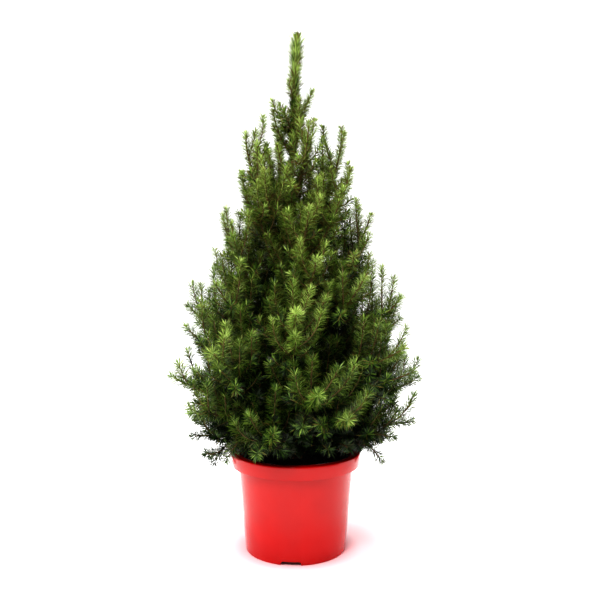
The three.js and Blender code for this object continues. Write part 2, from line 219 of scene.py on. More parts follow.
@dataclass(frozen=True)
class MouldedPlastic:
    """Glossy injection-moulded polypropylene with a faint orange-peel skin."""

    colour: Colour = (0.42, 0.0045, 0.0035)
    deep: Colour = (0.38, 0.0035, 0.003)
    roughness: float = 0.10
    flow_marks: float = 0.10

    def material(self) -> bpy.types.Material:
        """Returns the finished material."""
        recipe = Recipe("glossy_red_plastic")
        cloud = recipe.grain(18.0, 2.0)
        flow = recipe.grain(55.0, 2.0, (1.0, 1.0, 0.15))
        peel = recipe.grain(900.0, 1.0)
        recipe.surface(
            Base_Color=recipe.blend(recipe.band(cloud, 0.35, 0.7), self.deep, self.colour),
            Roughness=self.roughness + self.flow_marks * flow,
            Normal=recipe.bump(peel, 0.05, 0.0004),
            IOR=1.45,
            Specular_IOR_Level=0.4,
        )
        return recipe.material


@dataclass(frozen=True)
class PottingMix:
    """Moist peat with bark crumbs."""

    wet: Colour = (0.006, 0.004, 0.003)
    dry: Colour = (0.045, 0.026, 0.015)

    def material(self) -> bpy.types.Material:
        """Returns the finished material."""
        recipe = Recipe("dark_potting_mix")
        crumbs = recipe.grain(420.0, 5.0)
        patches = recipe.grain(45.0, 2.0)
        dryness = recipe.band(crumbs * 0.7 + patches * 0.3, 0.45, 0.66)
        recipe.surface(
            Base_Color=recipe.blend(dryness, self.wet, self.dry),
            Roughness=0.95 - 0.25 * patches,
            Normal=recipe.bump(crumbs, 0.8, 0.002),
        )
        return recipe.material


@dataclass(frozen=True)
class ScalyBark:
    """Thin flaking bark of a young conifer."""

    crevice: Colour = (0.05, 0.022, 0.012)
    scale: Colour = (0.21, 0.105, 0.052)
    grey: Colour = (0.26, 0.19, 0.13)

    def material(self) -> bpy.types.Material:
        """Returns the finished material."""
        recipe = Recipe("scaly_bark")
        plates = recipe.grain(260.0, 4.0, (1.0, 1.0, 0.35))
        fine = recipe.grain(1400.0, 3.0, (1.0, 1.0, 0.5))
        weather = recipe.grain(30.0, 2.0)
        brown = recipe.blend(recipe.band(plates, 0.38, 0.62), self.crevice, self.scale)
        recipe.surface(
            Base_Color=recipe.blend(recipe.band(weather, 0.5, 0.75) * 0.6, brown, self.grey),
            Roughness=0.78 + 0.15 * fine,
            Normal=recipe.bump(plates * 0.7 + fine * 0.3, 0.7, 0.0012),
        )
        return recipe.material


class Tint(Enum):
    """Plain colours of needles, lit and shaded copies of one green from the crown's painted-shade inside to
    its painted-light outside and new growth, and of old needles.
    """

    # SHADE to FRESH are painted shade and painted light as much as age; OLIVE is the real colour of old
    # needles
    SHADE = ("needles_shade", (0.006, 0.015, 0.002))
    DEEP = ("needles_deep", (0.036, 0.074, 0.012))
    MID = ("needles_mid", (0.104, 0.170, 0.028))
    LIGHT = ("needles_light", (0.186, 0.272, 0.052))
    FRESH = ("needles_fresh", (0.320, 0.420, 0.108))
    OLIVE = ("needles_olive", (0.118, 0.098, 0.026))

    @property
    def number(self) -> int:
        """Returns the tint's place in the list."""
        return list(Tint).index(self)

    def material(self) -> bpy.types.Material:
        """Returns the tint's waxy finish."""
        name, colour = self.value
        recipe = Recipe(name)
        recipe.surface(Base_Color=(*colour, 1.0), Roughness=0.42, Specular_IOR_Level=0.22)
        return recipe.material


@dataclass(frozen=True)
class YoungBark:
    """Smooth orange-brown bark of this year's shoots."""

    colour: Colour = (0.122, 0.074, 0.026)

    def material(self) -> bpy.types.Material:
        """Returns the finished material."""
        recipe = Recipe("young_bark")
        recipe.surface(Base_Color=(*self.colour, 1.0), Roughness=0.7)
        return recipe.material


@dataclass(frozen=True)
class StudioPaper:
    """Matt white paper, lit from behind as a light table is, with painted shade in its glow under the pot's
    foot and a painted reddish reflection of the pot around it.
    """

    colour: Colour = (0.90, 0.90, 0.90)
    # painted reflection: the pot's red light on the paper, painted into its colour near the pot
    painted_pot_reflection: Colour = (0.90, 0.53, 0.57)
    painted_reflection_reach: tuple[float, float] = (0.09, 0.2)
    glow: float = 0.26
    lit: Colour = (1.0, 1.0, 1.0)
    # painted shade: the glow darkens to this under the pot's foot and in its drain slots
    shaded: Colour = (0.05, 0.0, 0.0)
    shade_reach: tuple[float, float] = (0.066, 0.10)

    def material(self) -> bpy.types.Material:
        """Returns the finished material, with painted shade where the pot stands and a painted reflection of
        the pot nearby.
        """
        recipe = Recipe("white_paper")
        fibre = recipe.grain(60.0, 2.0)
        length = {"operation": "LENGTH"}
        away = recipe.node("ShaderNodeVectorMath", length, {0: recipe.place()}, "Value")
        recipe.surface(
            # painted reflection of the pot, reddening the paper near it
            Base_Color=recipe.blend(recipe.band(away, *self.painted_reflection_reach), self.painted_pot_reflection, self.colour),
            Roughness=0.85 + 0.05 * fibre,
            # painted shade under the pot, darkening the glow
            Emission_Color=recipe.blend(recipe.band(away, *self.shade_reach), self.shaded, self.lit),
            Emission_Strength=self.glow,
        )
        return recipe.material


# ---------------------------------------------------------------- mesh tools


@dataclass(frozen=True)
class Form:
    """A small mesh kept as arrays, to be repeated many times."""

    corners: np.ndarray
    faces: np.ndarray

    @classmethod
    def needle(cls) -> "Form":
        """Returns a keeled needle, one unit long and about two wide, pointed at both ends."""
        shape = bmesh.new()
        middle, tip = 0.5, 1.0
        bmesh.ops.create_cone(
            shape, cap_ends=True, cap_tris=False, segments=3, radius1=1.15, radius2=0.0, depth=tip - middle,
            matrix=Matrix.Translation((0.0, 0.0, (middle + tip) / 2)),
        )
        root = [v for v in shape.verts if v.co.z < (middle + tip) / 2][:1]
        bmesh.ops.translate(shape, verts=root, vec=(-root[0].co.x, -root[0].co.y, -middle))
        return cls._taken(shape)

    @classmethod
    def clod(cls) -> "Form":
        """Returns a rough crumb of one unit across."""
        shape = bmesh.new()
        bmesh.ops.create_icosphere(shape, subdivisions=1, radius=0.5)
        for corner in shape.verts:
            corner.co *= 0.75 + 0.5 * noise.noise(corner.co * 3.1)
        return cls._taken(shape)

    @classmethod
    def _taken(cls, shape: bmesh.types.BMesh) -> "Form":
        """Keeps a bmesh as arrays of triangles and frees it.

        Args:
            shape: the bmesh.

        Returns:
            The form.
        """
        bmesh.ops.triangulate(shape, faces=shape.faces[:])
        bmesh.ops.recalc_face_normals(shape, faces=shape.faces[:])
        shape.verts.index_update()
        corners = np.array([v.co[:] for v in shape.verts])
        faces = np.array([[v.index for v in f.verts] for f in shape.faces])
        shape.free()
        return cls(corners, faces)

    def repeated(self, name: str, roots: np.ndarray, axes: np.ndarray) -> bpy.types.Mesh:
        """Joins one copy for each place.

        Args:
            name: the mesh's name.
            roots: where each copy's own origin goes, in metres.
            axes: each copy's three axes, scaled, as rows.

        Returns:
            One mesh of all the copies.
        """
        corners = np.einsum("vk,nkx->nvx", self.corners, axes) + roots[:, None, :]
        offsets = np.arange(len(roots))[:, None, None] * len(self.corners)
        faces = (self.faces[None] + offsets).reshape(-1)
        mesh = bpy.data.meshes.new(name)
        mesh.vertices.add(corners.shape[0] * corners.shape[1])
        mesh.vertices.foreach_set("co", corners.reshape(-1).astype(np.float32))
        mesh.loops.add(len(faces))
        mesh.loops.foreach_set("vertex_index", faces.astype(np.int32))
        mesh.polygons.add(len(faces) // 3)
        mesh.polygons.foreach_set("loop_start", np.arange(0, len(faces), 3, dtype=np.int32))
        mesh.update(calc_edges=True)
        mesh.shade_flat()
        return mesh


def add_piece(name: str, mesh: bpy.types.Mesh, finish: bpy.types.Material,
              nodes: Sequence[str] = ()) -> bpy.types.Object:
    """Puts one piece into the scene.

    Args:
        name: the piece's name.
        mesh: its mesh, in place.
        finish: its material.
        nodes: the frame's nodes that it stands for.

    Returns:
        The piece's object.
    """
    mesh.materials.clear()
    mesh.materials.append(finish)
    piece = bpy.data.objects.new(name, mesh)
    bpy.context.scene.collection.objects.link(piece)
    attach(piece, BODY)
    if nodes:
        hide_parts(*nodes)
    LOG.info("%s: %d faces", name, len(mesh.polygons))
    return piece


def turned(profile: Sequence[tuple[float, float]], steps: int) -> bmesh.types.BMesh:
    """Spins a profile about the Z axis into a closed shell.

    Args:
        profile: radius and height pairs in millimetres, from axis to axis.
        steps: facets round the turn.

    Returns:
        The shell.
    """
    shell = bmesh.new()
    points = [shell.verts.new((radius * MM, 0.0, z * MM)) for radius, z in profile]
    edges = [shell.edges.new(pair) for pair in zip(points, points[1:])]
    bmesh.ops.spin(
        shell, geom=points + edges, cent=(0, 0, 0), axis=(0, 0, 1), angle=2 * math.pi, steps=steps,
        use_merge=True,
    )
    bmesh.ops.remove_doubles(shell, verts=shell.verts[:], dist=1e-6)
    bmesh.ops.recalc_face_normals(shell, faces=shell.faces[:])
    return shell


def meshed(shape: bmesh.types.BMesh, name: str, smooth: bool = True) -> bpy.types.Mesh:
    """Turns a bmesh into a mesh and frees it.

    Args:
        shape: the bmesh.
        name: the mesh's name.
        smooth: whether its faces are shaded smooth.

    Returns:
        The mesh.
    """
    for face in shape.faces:
        face.smooth = smooth
    mesh = bpy.data.meshes.new(name)
    shape.to_mesh(mesh)
    shape.free()
    return mesh


# ---------------------------------------------------------------- the growth rule


class Seeded:
    """Repeatable numbers."""

    def __init__(self, seed: int) -> None:
        """Starts from a seed."""
        self.state = seed

    def next(self) -> float:
        """Returns a number between 0 and 1."""
        self.state = self.state * 48271 % 2147483647
        return self.state / 2147483647

    def spread(self, amount: float) -> float:
        """Returns a number between -amount and amount."""
        return (2 * self.next() - 1) * amount


@dataclass(frozen=True)
class Path:
    """A shoot's line: one bend between its root and its tip, in millimetres."""

    root: np.ndarray
    knee: np.ndarray
    tip: np.ndarray

    def at(self, share: float | np.ndarray) -> np.ndarray:
        """Returns the point or points at shares of the line."""
        t = np.asarray(share, float)[..., None]
        return (1 - t) ** 2 * self.root + 2 * t * (1 - t) * self.knee + t * t * self.tip

    def way(self, share: float | np.ndarray) -> np.ndarray:
        """Follows the line's direction.

        Args:
            share: a share of the line, or several.

        Returns:
            The unit direction at each.
        """
        t = np.asarray(share, float)[..., None]
        way = (1 - t) * (self.knee - self.root) + t * (self.tip - self.knee)
        return way / np.linalg.norm(way, axis=-1, keepdims=True)

    def length(self) -> float:
        """Returns the line's length."""
        points = self.at(np.linspace(0, 1, 201))
        return float(np.linalg.norm(np.diff(points, axis=0), axis=1).sum())

    def stretch(self, start: float, end: float) -> "Path":
        """Cuts out a part of the line.

        Args:
            start: the share where it starts.
            end: the share where it ends.

        Returns:
            The part, as a line of its own.
        """
        first, second = self.knee - self.root, self.tip - self.knee
        root = self.at(start)
        return Path(root, root + (first * (1 - start) + second * start) * (end - start), self.at(end))


@dataclass(frozen=True)
class Shape:
    """Sizes of the whole plant, the same as its solids'."""

    gap: float = 0.3
    pot_height: float = 144
    lip_radius: float = 95
    lip_drop: float = 19
    lip_draft: float = 1.6
    lip_plate: float = 2.3
    shoulder_radius: float = 84
    base_radius: float = 73.1
    wall: float = 1.8
    floor: float = 2.2
    fillet: float = 2.0
    soil_top: float = 132
    soil_mound: float = 1.5
    tree_top: float = 742
    trunk_end: float = 566
    trunk_radius: float = 8.2
    flare: float = 3.2
    flare_height: float = 16
    leader_radius: float = 2.6
    trunk_bow: float = 8.5
    trunk_sway: float = 4
    trunk_lean: float = 2

    def trunk_at(self, z: float) -> np.ndarray:
        """Follows the trunk's bow, sway and lean.

        Args:
            z: a height.

        Returns:
            The middle of the trunk there.
        """
        share = (z - self.soil_top) / (self.tree_top - self.soil_top)
        x = self.trunk_lean * share - self.trunk_bow * math.sin(math.pi * share)
        return np.array([x, self.trunk_sway * math.sin(1.5 * math.pi * share), z])

    def trunk_radius_at(self, z: float) -> float:
        """Tapers the trunk above its root flare.

        Args:
            z: a height.

        Returns:
            The trunk's radius there.
        """
        share = (z - self.soil_top) / (self.trunk_end - self.soil_top)
        flare = self.flare * math.exp((self.soil_top - z) / self.flare_height)
        return self.trunk_radius + (self.leader_radius - self.trunk_radius) * share + flare

    def wall_inside(self, z: float) -> float:
        """Returns the inner radius of the pot's wall at a height."""
        rise = (self.shoulder_radius - self.base_radius) / (self.pot_height - self.lip_drop)
        return self.base_radius + rise * z - self.wall

    def pot_distance(self, points: np.ndarray) -> np.ndarray:
        """Measures how far points are from the pot and its soil.

        Args:
            points: the points.

        Returns:
            Their distances, below 0 inside the pot.
        """
        out = np.hypot(points[..., 0], points[..., 1]) - self.lip_radius
        above = points[..., 2] - self.pot_height
        beside = np.where(above <= 0, out, np.hypot(out, above))
        return np.where(out <= 0, above, beside)


SHAPE = Shape()


@dataclass(frozen=True)
class Whorl:
    """One whorl of boughs: turns in degrees, sizes in millimetres."""

    name: str
    count: int
    turn: float
    step: float
    base: float
    tip: float
    out: float
    up: float
    root: float
    heart: float
    sides: int


@dataclass(frozen=True)
class Rule:
    """The growth rule's numbers, the same as the solids'."""

    bare: float = 0.22
    bough_taper: float = 0.55
    core_radius: float = 2.3
    needle_reach: float = 11
    shortest: float = 26
    heart_start: float = 0.27
    heart_end: float = 0.84
    heart_rows: int = 6
    clear: float = 1.2
    bead_step: float = 4
    root_share: float = 0.2
    opening: float = 44
    side_roll: float = 26
    upward_roll: float = 78
    side_length: tuple[float, float, float] = (0.24, 0.34, 0.16)
    lift: tuple[float, float] = (0.42, 0.38)
    first_side: tuple[float, float] = (0.3, 0.28)
    last_side: float = 0.9
    leader_sides: int = 5
    leader_start: float = 0.03
    leader_step: float = 0.055
    leader_turn: float = 35
    golden: float = 137.5
    leader_length: float = 74
    leader_shorten: float = 7
    leader_opening: float = 43
    leader_lift: float = 0.75
    boughed: int = 6
    climb: float = 2
    full_reach: float = 0.96


RULE = Rule()

CROWN_OUTLINE = (
    (110, 118), (160, 146), (200, 174), (252, 190), (300, 183), (375, 160), (425, 132),
    (500, 106), (550, 90), (612, 74), (640, 40), (680, 26), (742, 8),
)

WHORLS = (
    Whorl("skirt", 3, 4, 88, 158, 124, 0.62, 44, 4.2, 15, 4),
    Whorl("low", 4, -16, 90, 172, 184, 0.6, 12, 5, 27, 4),
    Whorl("wide", 4, 10, 90, 194, 252, 0.64, 16, 5, 30, 4),
    Whorl("shoulder", 4, 54, 90, 222, 306, 0.66, 26, 5, 30, 4),
    Whorl("waist", 4, -2, 90, 260, 364, 0.7, 36, 4.6, 28, 4),
    Whorl("middle", 3, 40, 122, 304, 420, 0.74, 42, 4.3, 26, 4),
    Whorl("upper", 4, 4, 90, 340, 490, 0.8, 50, 4, 20, 4),
    Whorl("high", 4, -20, 90, 404, 546, 0.85, 50, 3.4, 0, 3),
    Whorl("top", 4, 20, 90, 458, 600, 0.88, 44, 3, 0, 3),
)


def crown_reach(z: float) -> float:
    """Returns the crown's reach at a height."""
    heights, reaches = zip(*CROWN_OUTLINE)
    return float(np.interp(z, heights, reaches))


class Zone(Enum):
    """Parts of the crown that are joined into pieces of their own: slot, first whorl and lowest spray."""

    FOOT = ("old_needles", 0, 0.0)
    MIDDLE = ("needles", 3, 230.0)
    TOP = ("fresh_needles", 6, 380.0)

    @classmethod
    def of(cls, level: int) -> "Zone":
        """Returns the zone of a whorl."""
        return [zone for zone in cls if level >= zone.value[1]][-1]

    @classmethod
    def at(cls, z: float) -> "Zone":
        """Returns the zone of a spray on the trunk at a height."""
        return [zone for zone in cls if z >= zone.value[2]][-1]

    @property
    def slot(self) -> str:
        """Names the record's slot of the zone's needles."""
        return self.value[0]


@dataclass
class Shoot:
    """One needled shoot of the crown."""

    path: Path
    order: int
    radius: float
    end_radius: float
    bare: float
    zone: Zone

    @property
    def leading(self) -> bool:
        """Tells whether the shoot is the leader."""
        return self.order == 1 and self.path.root[2] > SHAPE.trunk_end


@dataclass
class Mass:
    """One mass of foliage and its main shoot."""

    name: str
    level: int
    path: Path
    seed: int
    whorl: Whorl | None = None
    heart: tuple[np.ndarray, np.ndarray] | None = None
    shoots: list[Path] = field(default_factory=list)

    @property
    def boughed(self) -> bool:
        """Tells whether the mass has a bough of its own."""
        return self.level < RULE.boughed


def side_path(parent: Path, share: float, roll: float, opening: float, length: float, lift: float) -> Path:
    """Grows a side shoot that turns up to the light and stays within the crown.

    Args:
        parent: the line it springs from.
        share: where on the parent.
        roll: its turn round the parent, in radians above level.
        opening: the angle between the two, in radians.
        length: the length it would like.
        lift: how far it turns up.

    Returns:
        The side shoot's line.
    """
    along = parent.way(share)
    side = np.cross(along, UP)
    side /= np.linalg.norm(side)
    above = np.cross(side, along)
    around = side * math.cos(roll) + above * math.sin(roll)
    way = along * math.cos(opening) + around * math.sin(opening)
    end = way * (1 - lift) + UP * lift
    end /= np.linalg.norm(end)
    root = parent.at(share)
    half = length / 2
    while half > 0.4 * RULE.shortest:
        tip = root + (way + end) * half
        if math.hypot(tip[0], tip[1]) <= crown_reach(tip[2]):
            break
        half *= 0.9
    return Path(root, root + way * half, root + (way + end) * half)


class Room:
    """The places already taken in the crown, each a ball with an owner and a turn."""

    def __init__(self) -> None:
        """Starts with an empty crown."""
        self.balls: list[tuple[float, float, float, float, int, int]] = []
        self.owners: dict[str, int] = {}
        self.turn = 0

    def take(self, points: np.ndarray, radii: np.ndarray | float, owner: str) -> None:
        """Takes up balls of room.

        Args:
            points: their middles.
            radii: their radii, or one for all.
            owner: who takes them.
        """
        number = self.owners.setdefault(owner, len(self.owners))
        for point, radius in zip(points, np.broadcast_to(radii, len(points))):
            self.balls.append((*point, float(radius), number, self.turn))

    def take_path(self, path: Path, radius: float, owner: str) -> None:
        """Takes up the room along a line."""
        self.take(self._beads(path), radius, owner)

    def distance(self, points: np.ndarray, owner: str) -> np.ndarray:
        """Measures how far points are from the places that others took in earlier turns.

        Args:
            points: the points.
            owner: who asks, and isn't kept off its own places.

        Returns:
            Their distances.
        """
        number = self.owners.setdefault(owner, len(self.owners))
        balls = np.array(self.balls)
        balls = balls[(balls[:, 4] != number) & (balls[:, 5] < self.turn)]
        gaps = np.linalg.norm(points[:, None, :] - balls[None, :, :3], axis=2) - balls[None, :, 3]
        return np.minimum(gaps.min(axis=1), SHAPE.pot_distance(points))

    def fits(self, path: Path, owner: str) -> bool:
        """Tells whether a shoot's core keeps clear of all others."""
        return bool((self.distance(self._beads(path), owner) > RULE.core_radius + 2 * RULE.clear).all())

    @staticmethod
    def _beads(path: Path) -> np.ndarray:
        """Returns evenly spaced points along a line."""
        return path.at(np.linspace(0, 1, math.ceil(path.length() / RULE.bead_step) + 1))


class Crown:
    """The masses of foliage, grown in the same turns as their solids."""

    def __init__(self) -> None:
        """Grows the masses and their side shoots."""
        self.masses = [m for level, whorl in enumerate(WHORLS) for m in self._whorl_masses(whorl, level)]
        self.masses.append(self._leader())
        self.room = Room()
        self._grow()

    @staticmethod
    def _whorl_masses(whorl: Whorl, level: int) -> list[Mass]:
        """Sends out one whorl's main shoots.

        Args:
            whorl: the whorl.
            level: its number from the foot.

        Returns:
            The whorl's masses.
        """
        chance = Seeded(1009 + 97 * level)
        made = []
        for k in range(whorl.count):
            angle = math.radians(whorl.turn + whorl.step * k + chance.spread(7))
            tip_height = whorl.tip + chance.spread(9)
            reach = crown_reach(tip_height) * (RULE.full_reach + chance.spread(0.03))
            out = np.array([math.cos(angle), math.sin(angle), 0.0])
            root = SHAPE.trunk_at(whorl.base + (RULE.climb + level) * k)
            knee = root + out * reach * whorl.out + UP * whorl.up
            path = Path(root, knee, out * reach + UP * tip_height)
            made.append(Mass(f"{whorl.name}_{k + 1}", level, path, 5003 + 331 * level + 31 * k, whorl))
        return made

    @staticmethod
    def _leader() -> Mass:
        """Returns the mass at the top, whose main shoot carries the trunk on."""
        heights = (SHAPE.trunk_end + SHAPE.gap, (SHAPE.trunk_end + SHAPE.tree_top) / 2, SHAPE.tree_top)
        return Mass("leader", len(WHORLS), Path(*(SHAPE.trunk_at(z) for z in heights)), 9001)

    @staticmethod
    def _wanted(mass: Mass) -> list[Path]:
        """Plans a mass's side shoots.

        Args:
            mass: the mass.

        Returns:
            The side shoots that it would like to grow.
        """
        chance = Seeded(mass.seed)
        whorl = mass.whorl
        if whorl is None:
            made = []
            for k in range(RULE.leader_sides):
                roll = math.radians(RULE.leader_turn + RULE.golden * k)
                length = RULE.leader_length - RULE.leader_shorten * k + chance.spread(RULE.leader_shorten)
                share = RULE.leader_start + RULE.leader_step * k
                made.append(side_path(mass.path, share, roll, math.radians(RULE.leader_opening), length,
                                      RULE.leader_lift))
            return made
        total = mass.path.length()
        height = (mass.path.tip[2] - SHAPE.pot_height) / (SHAPE.tree_top - SHAPE.pot_height)
        first = RULE.first_side[0 if mass.boughed else 1]
        least, more, jitter = RULE.side_length
        made = []
        for k in range(whorl.sides):
            share = first + (RULE.last_side - first) * (k + 0.7 * chance.next()) / whorl.sides
            above = math.radians(RULE.upward_roll if k % 3 == 2 else RULE.side_roll) + chance.spread(0.35)
            roll = above if k % 2 == 0 else math.pi - above
            opening = math.radians(RULE.opening) + chance.spread(0.14)
            length = total * (least + more * (1 - share)) * (1 + chance.spread(jitter))
            lift = RULE.lift[0] + RULE.lift[1] * height + chance.spread(0.08)
            made.append(side_path(mass.path, share, roll, opening, length, lift))
        return made

    def _heart(self, mass: Mass) -> tuple[np.ndarray, np.ndarray]:
        """Fits a mass's dense heart into the room that others leave.

        Args:
            mass: the mass.

        Returns:
            The heart's places and its radius at each.
        """
        rows = np.arange(RULE.heart_rows + 1)
        points = mass.path.stretch(RULE.heart_start, RULE.heart_end).at(rows / RULE.heart_rows)
        wanted = mass.whorl.heart * np.sin(math.pi * (rows + 0.5) / (RULE.heart_rows + 1))
        spare = self.room.distance(points, mass.name) - RULE.clear
        fair = (spare + RULE.needle_reach) / 2
        return points, np.maximum(RULE.core_radius, np.minimum(np.minimum(wanted, spare), fair))

    def _grow(self) -> None:
        """Lets limbs and main shoots grow first, then hearts, then side shoots in turn."""
        heights = np.linspace(SHAPE.soil_top, SHAPE.trunk_end, 120)
        self.room.take(np.array([SHAPE.trunk_at(z) for z in heights]), SHAPE.trunk_radius, "trunk")
        for mass in self.masses:
            self.room.turn += 1
            if mass.whorl is not None:
                self.room.take_path(mass.path.stretch(0, RULE.bare), mass.whorl.root, f"bough_{mass.name}")
                self.room.take_path(mass.path.stretch(RULE.bare, 1), RULE.needle_reach, mass.name)
            else:
                self.room.take_path(mass.path, RULE.needle_reach, mass.name)
        for mass in self.masses:
            if mass.whorl is not None and mass.whorl.heart > 0:
                self.room.turn += 1
                mass.heart = self._heart(mass)
                self.room.take(*mass.heart, mass.name)
        wanted = {mass.name: self._wanted(mass) for mass in self.masses}
        for k in range(RULE.leader_sides):
            for mass in self.masses:
                if k >= len(wanted[mass.name]):
                    continue
                path = wanted[mass.name][k]
                self.room.turn += 1
                free = path.stretch(RULE.root_share, 1)
                if path.length() >= RULE.shortest and self.room.fits(free, mass.name):
                    self.room.take_path(free, RULE.needle_reach, mass.name)
                    mass.shoots.append(path)


# ---------------------------------------------------------------- fine growth


class Thicket:
    """Where needled shoots already stand."""

    def __init__(self) -> None:
        """Starts with bare limbs."""
        self.points = np.empty((60000, 3))
        self.count = 0

    def add(self, path: Path, spacing: float = 5.0) -> None:
        """Marks the places along a shoot.

        Args:
            path: the shoot's line.
            spacing: the widest step between them.
        """
        points = path.at(np.linspace(0.15, 1, max(2, math.ceil(path.length() / spacing))))
        self.points[self.count:self.count + len(points)] = points
        self.count += len(points)

    def clearance(self, path: Path) -> float:
        """Measures how far a shoot's outer half is from all others.

        Args:
            path: the shoot's line.

        Returns:
            The shortest distance.
        """
        points = path.at(np.linspace(0.5, 1, 7))
        gaps = points[:, None, :] - self.points[None, :self.count, :]
        return float(np.sqrt((gaps * gaps).sum(axis=2).min()))


@dataclass(frozen=True)
class Habit:
    """How one order of twigs springs from its parents: shares of the parent, degrees, millimetres."""

    order: int
    first: float
    last: float
    spacing: float
    rolls: tuple[float, ...]
    opening: float
    least: float
    more: float
    longest: float
    shortest: float
    lift: float
    gain: float
    clear: float
    radius: float


SECOND_TWIGS = Habit(
    order=2, first=0.16, last=0.84, spacing=4.5, rolls=(38, 142, 84, 12, 168, 104), opening=46,
    least=0.36, more=0.36, longest=130, shortest=46, lift=0.62, gain=0.34, clear=16.4, radius=1.25,
)
THIRD_TWIGS = Habit(
    order=3, first=0.12, last=0.6, spacing=10.0, rolls=(30, 150, 80, 200, 340, 100), opening=42,
    least=0.34, more=0.3, longest=60, shortest=28, lift=0.6, gain=0.35, clear=14.0, radius=1.05,
)
INNER_TWIGS = Habit(
    order=4, first=0.05, last=0.75, spacing=3.0, rolls=(40, 175, 300, 85, 220, 350, 130), opening=60,
    least=0.16, more=0.2, longest=50, shortest=15, lift=0.3, gain=0.2, clear=7.5, radius=0.9,
)


@dataclass
class FineGrowth:
    """Twigs finer than the solids', grown by the same rule within the same reach."""

    crown: Crown
    between: float = 0.62
    pot_margin: float = 3.0
    lowest_tip: float = 150.0
    unevenness: float = 0.3
    inner_reach: float = 0.82
    foot_boughs: int = 13
    foot_reach: float = 108
    front_pull: float = 30
    front_rise: float = 14
    arms: tuple[tuple[float, float, float], ...] = ((7, 174, 182), (186, 150, 168))
    openness: float = 0.05
    tries: tuple[float, ...] = (1.0, 0.84, 0.7)
    spray_top: float = 430
    spray_step: float = 3.5
    spray_clear: float = 6.5
    spurs: tuple[tuple[float, float, float], ...] = (
        (606, 196, 26), (622, -22, 25), (632, 80, 20), (650, 250, 15),
    )
    shoots: list[Shoot] = field(default_factory=list)
    thicket: Thicket = field(default_factory=Thicket)

    def grow(self) -> list[Shoot]:
        """Returns every shoot of the crown."""
        limbs, seconds = [], []
        for mass in self.crown.masses:
            zone = Zone.of(mass.level)
            root = mass.whorl.root if mass.whorl else SHAPE.leader_radius
            bare = 0.3 if mass.boughed else 0.12 if mass.whorl else 0.0
            limbs.append(self._keep(mass.path, 1, root, bare, zone))
            seconds += [self._keep(path, 2, 1.4, 0.0, zone) for path in mass.shoots]
        limbs += self._between_boughs() + self._foot_boughs()
        seconds += self._spring(limbs, SECOND_TWIGS, 20011)
        thirds = self._spring(limbs + seconds, THIRD_TWIGS, 30011)
        self._spring(limbs, INNER_TWIGS, 40009)
        self._trunk_sprays()
        old = Path(*(SHAPE.trunk_at(z) for z in (440, 503, SHAPE.trunk_end)))
        self._keep(old, 3, 1.0, 0.0, Zone.TOP)
        LOG.info("%d limbs, %d second and %d third shoots", len(limbs), len(seconds), len(thirds))
        return self.shoots

    def _keep(self, path: Path, order: int, radius: float, bare: float, zone: Zone) -> Shoot:
        """Adds a shoot and marks its place.

        Args:
            path: its line.
            order: 1 for limbs, 2 and 3 for twigs, 4 for the short twigs inside.
            radius: its radius at the root.
            bare: the share of it that carries no needles.
            zone: the part of the crown that it belongs to.

        Returns:
            The shoot.
        """
        shoot = Shoot(path, order, radius, 0.9 if order == 1 else 0.6, bare, zone)
        self.shoots.append(shoot)
        self.thicket.add(path)
        return shoot

    def _between_boughs(self) -> list[Shoot]:
        """Grows thin boughs from the trunk, between those of each whorl."""
        made = []
        for level, (whorl, above) in enumerate(zip(WHORLS[:7], WHORLS[1:])):
            chance = Seeded(15013 + 71 * level)
            for k in range(whorl.count):
                angle = math.radians(whorl.turn + whorl.step * (k + 0.5) + chance.spread(9))
                tip_height = (whorl.tip + above.tip) / 2 + chance.spread(10)
                reach = crown_reach(tip_height) * (0.93 + chance.spread(0.05))
                out = np.array([math.cos(angle), math.sin(angle), 0.0])
                root = SHAPE.trunk_at((whorl.base + above.base) / 2 + 4 * k)
                knee = root + out * reach * whorl.out + UP * whorl.up
                path = Path(root, knee, out * reach + UP * tip_height)
                made.append(self._keep(path, 1, whorl.root * self.between, 0.25, Zone.of(level)))
        return made

    def _foot_boughs(self) -> list[Shoot]:
        """Grows the short lowest boughs, which spread just over the pot's rim."""
        chance = Seeded(17011)
        made = []
        for k in range(self.foot_boughs):
            angle = math.radians(-96 + 360 * k / self.foot_boughs + chance.spread(9))
            out = np.array([math.cos(angle), math.sin(angle), 0.0])
            front = max(0.0, -out[1]) ** 2
            reach = self.foot_reach - self.front_pull * front + chance.spread(12)
            root = SHAPE.trunk_at(152 + 6 * (k % 3))
            knee = root + out * reach * 0.6 + UP * (16 + chance.spread(5))
            tip_height = 154 + self.front_rise * front + chance.spread(6)
            path = Path(root, knee, out * reach + UP * tip_height)
            made.append(self._keep(path, 1, 2.2, 0.2, Zone.FOOT))
        for turn, reach, tip_height in self.arms:
            out = np.array([math.cos(math.radians(turn)), math.sin(math.radians(turn)), 0.0])
            root = SHAPE.trunk_at(166)
            path = Path(root, root + out * reach * 0.6 + UP * 4, out * reach + UP * tip_height)
            made.append(self._keep(path, 1, 2.6, 0.3, Zone.FOOT))
        return made

    def _spring(self, parents: list[Shoot], habit: Habit, seed: int) -> list[Shoot]:
        """Lets one order of twigs spring from its parents, wherever there is room.

        Args:
            parents: the shoots that carry them, which take their turns.
            habit: how they spring.
            seed: the seed of the first parent's numbers.

        Returns:
            The twigs that grew.
        """
        chances = [Seeded(seed + 173 * number) for number in range(len(parents))]
        counts = [int(p.path.length() * (habit.last - habit.first) / habit.spacing) for p in parents]
        made = []
        for k in range(max(counts)):
            for parent, chance, count in zip(parents, chances, counts):
                if k < count:
                    twig = self._twig(parent, habit, chance, k, count)
                    if twig is not None:
                        made.append(twig)
        return made

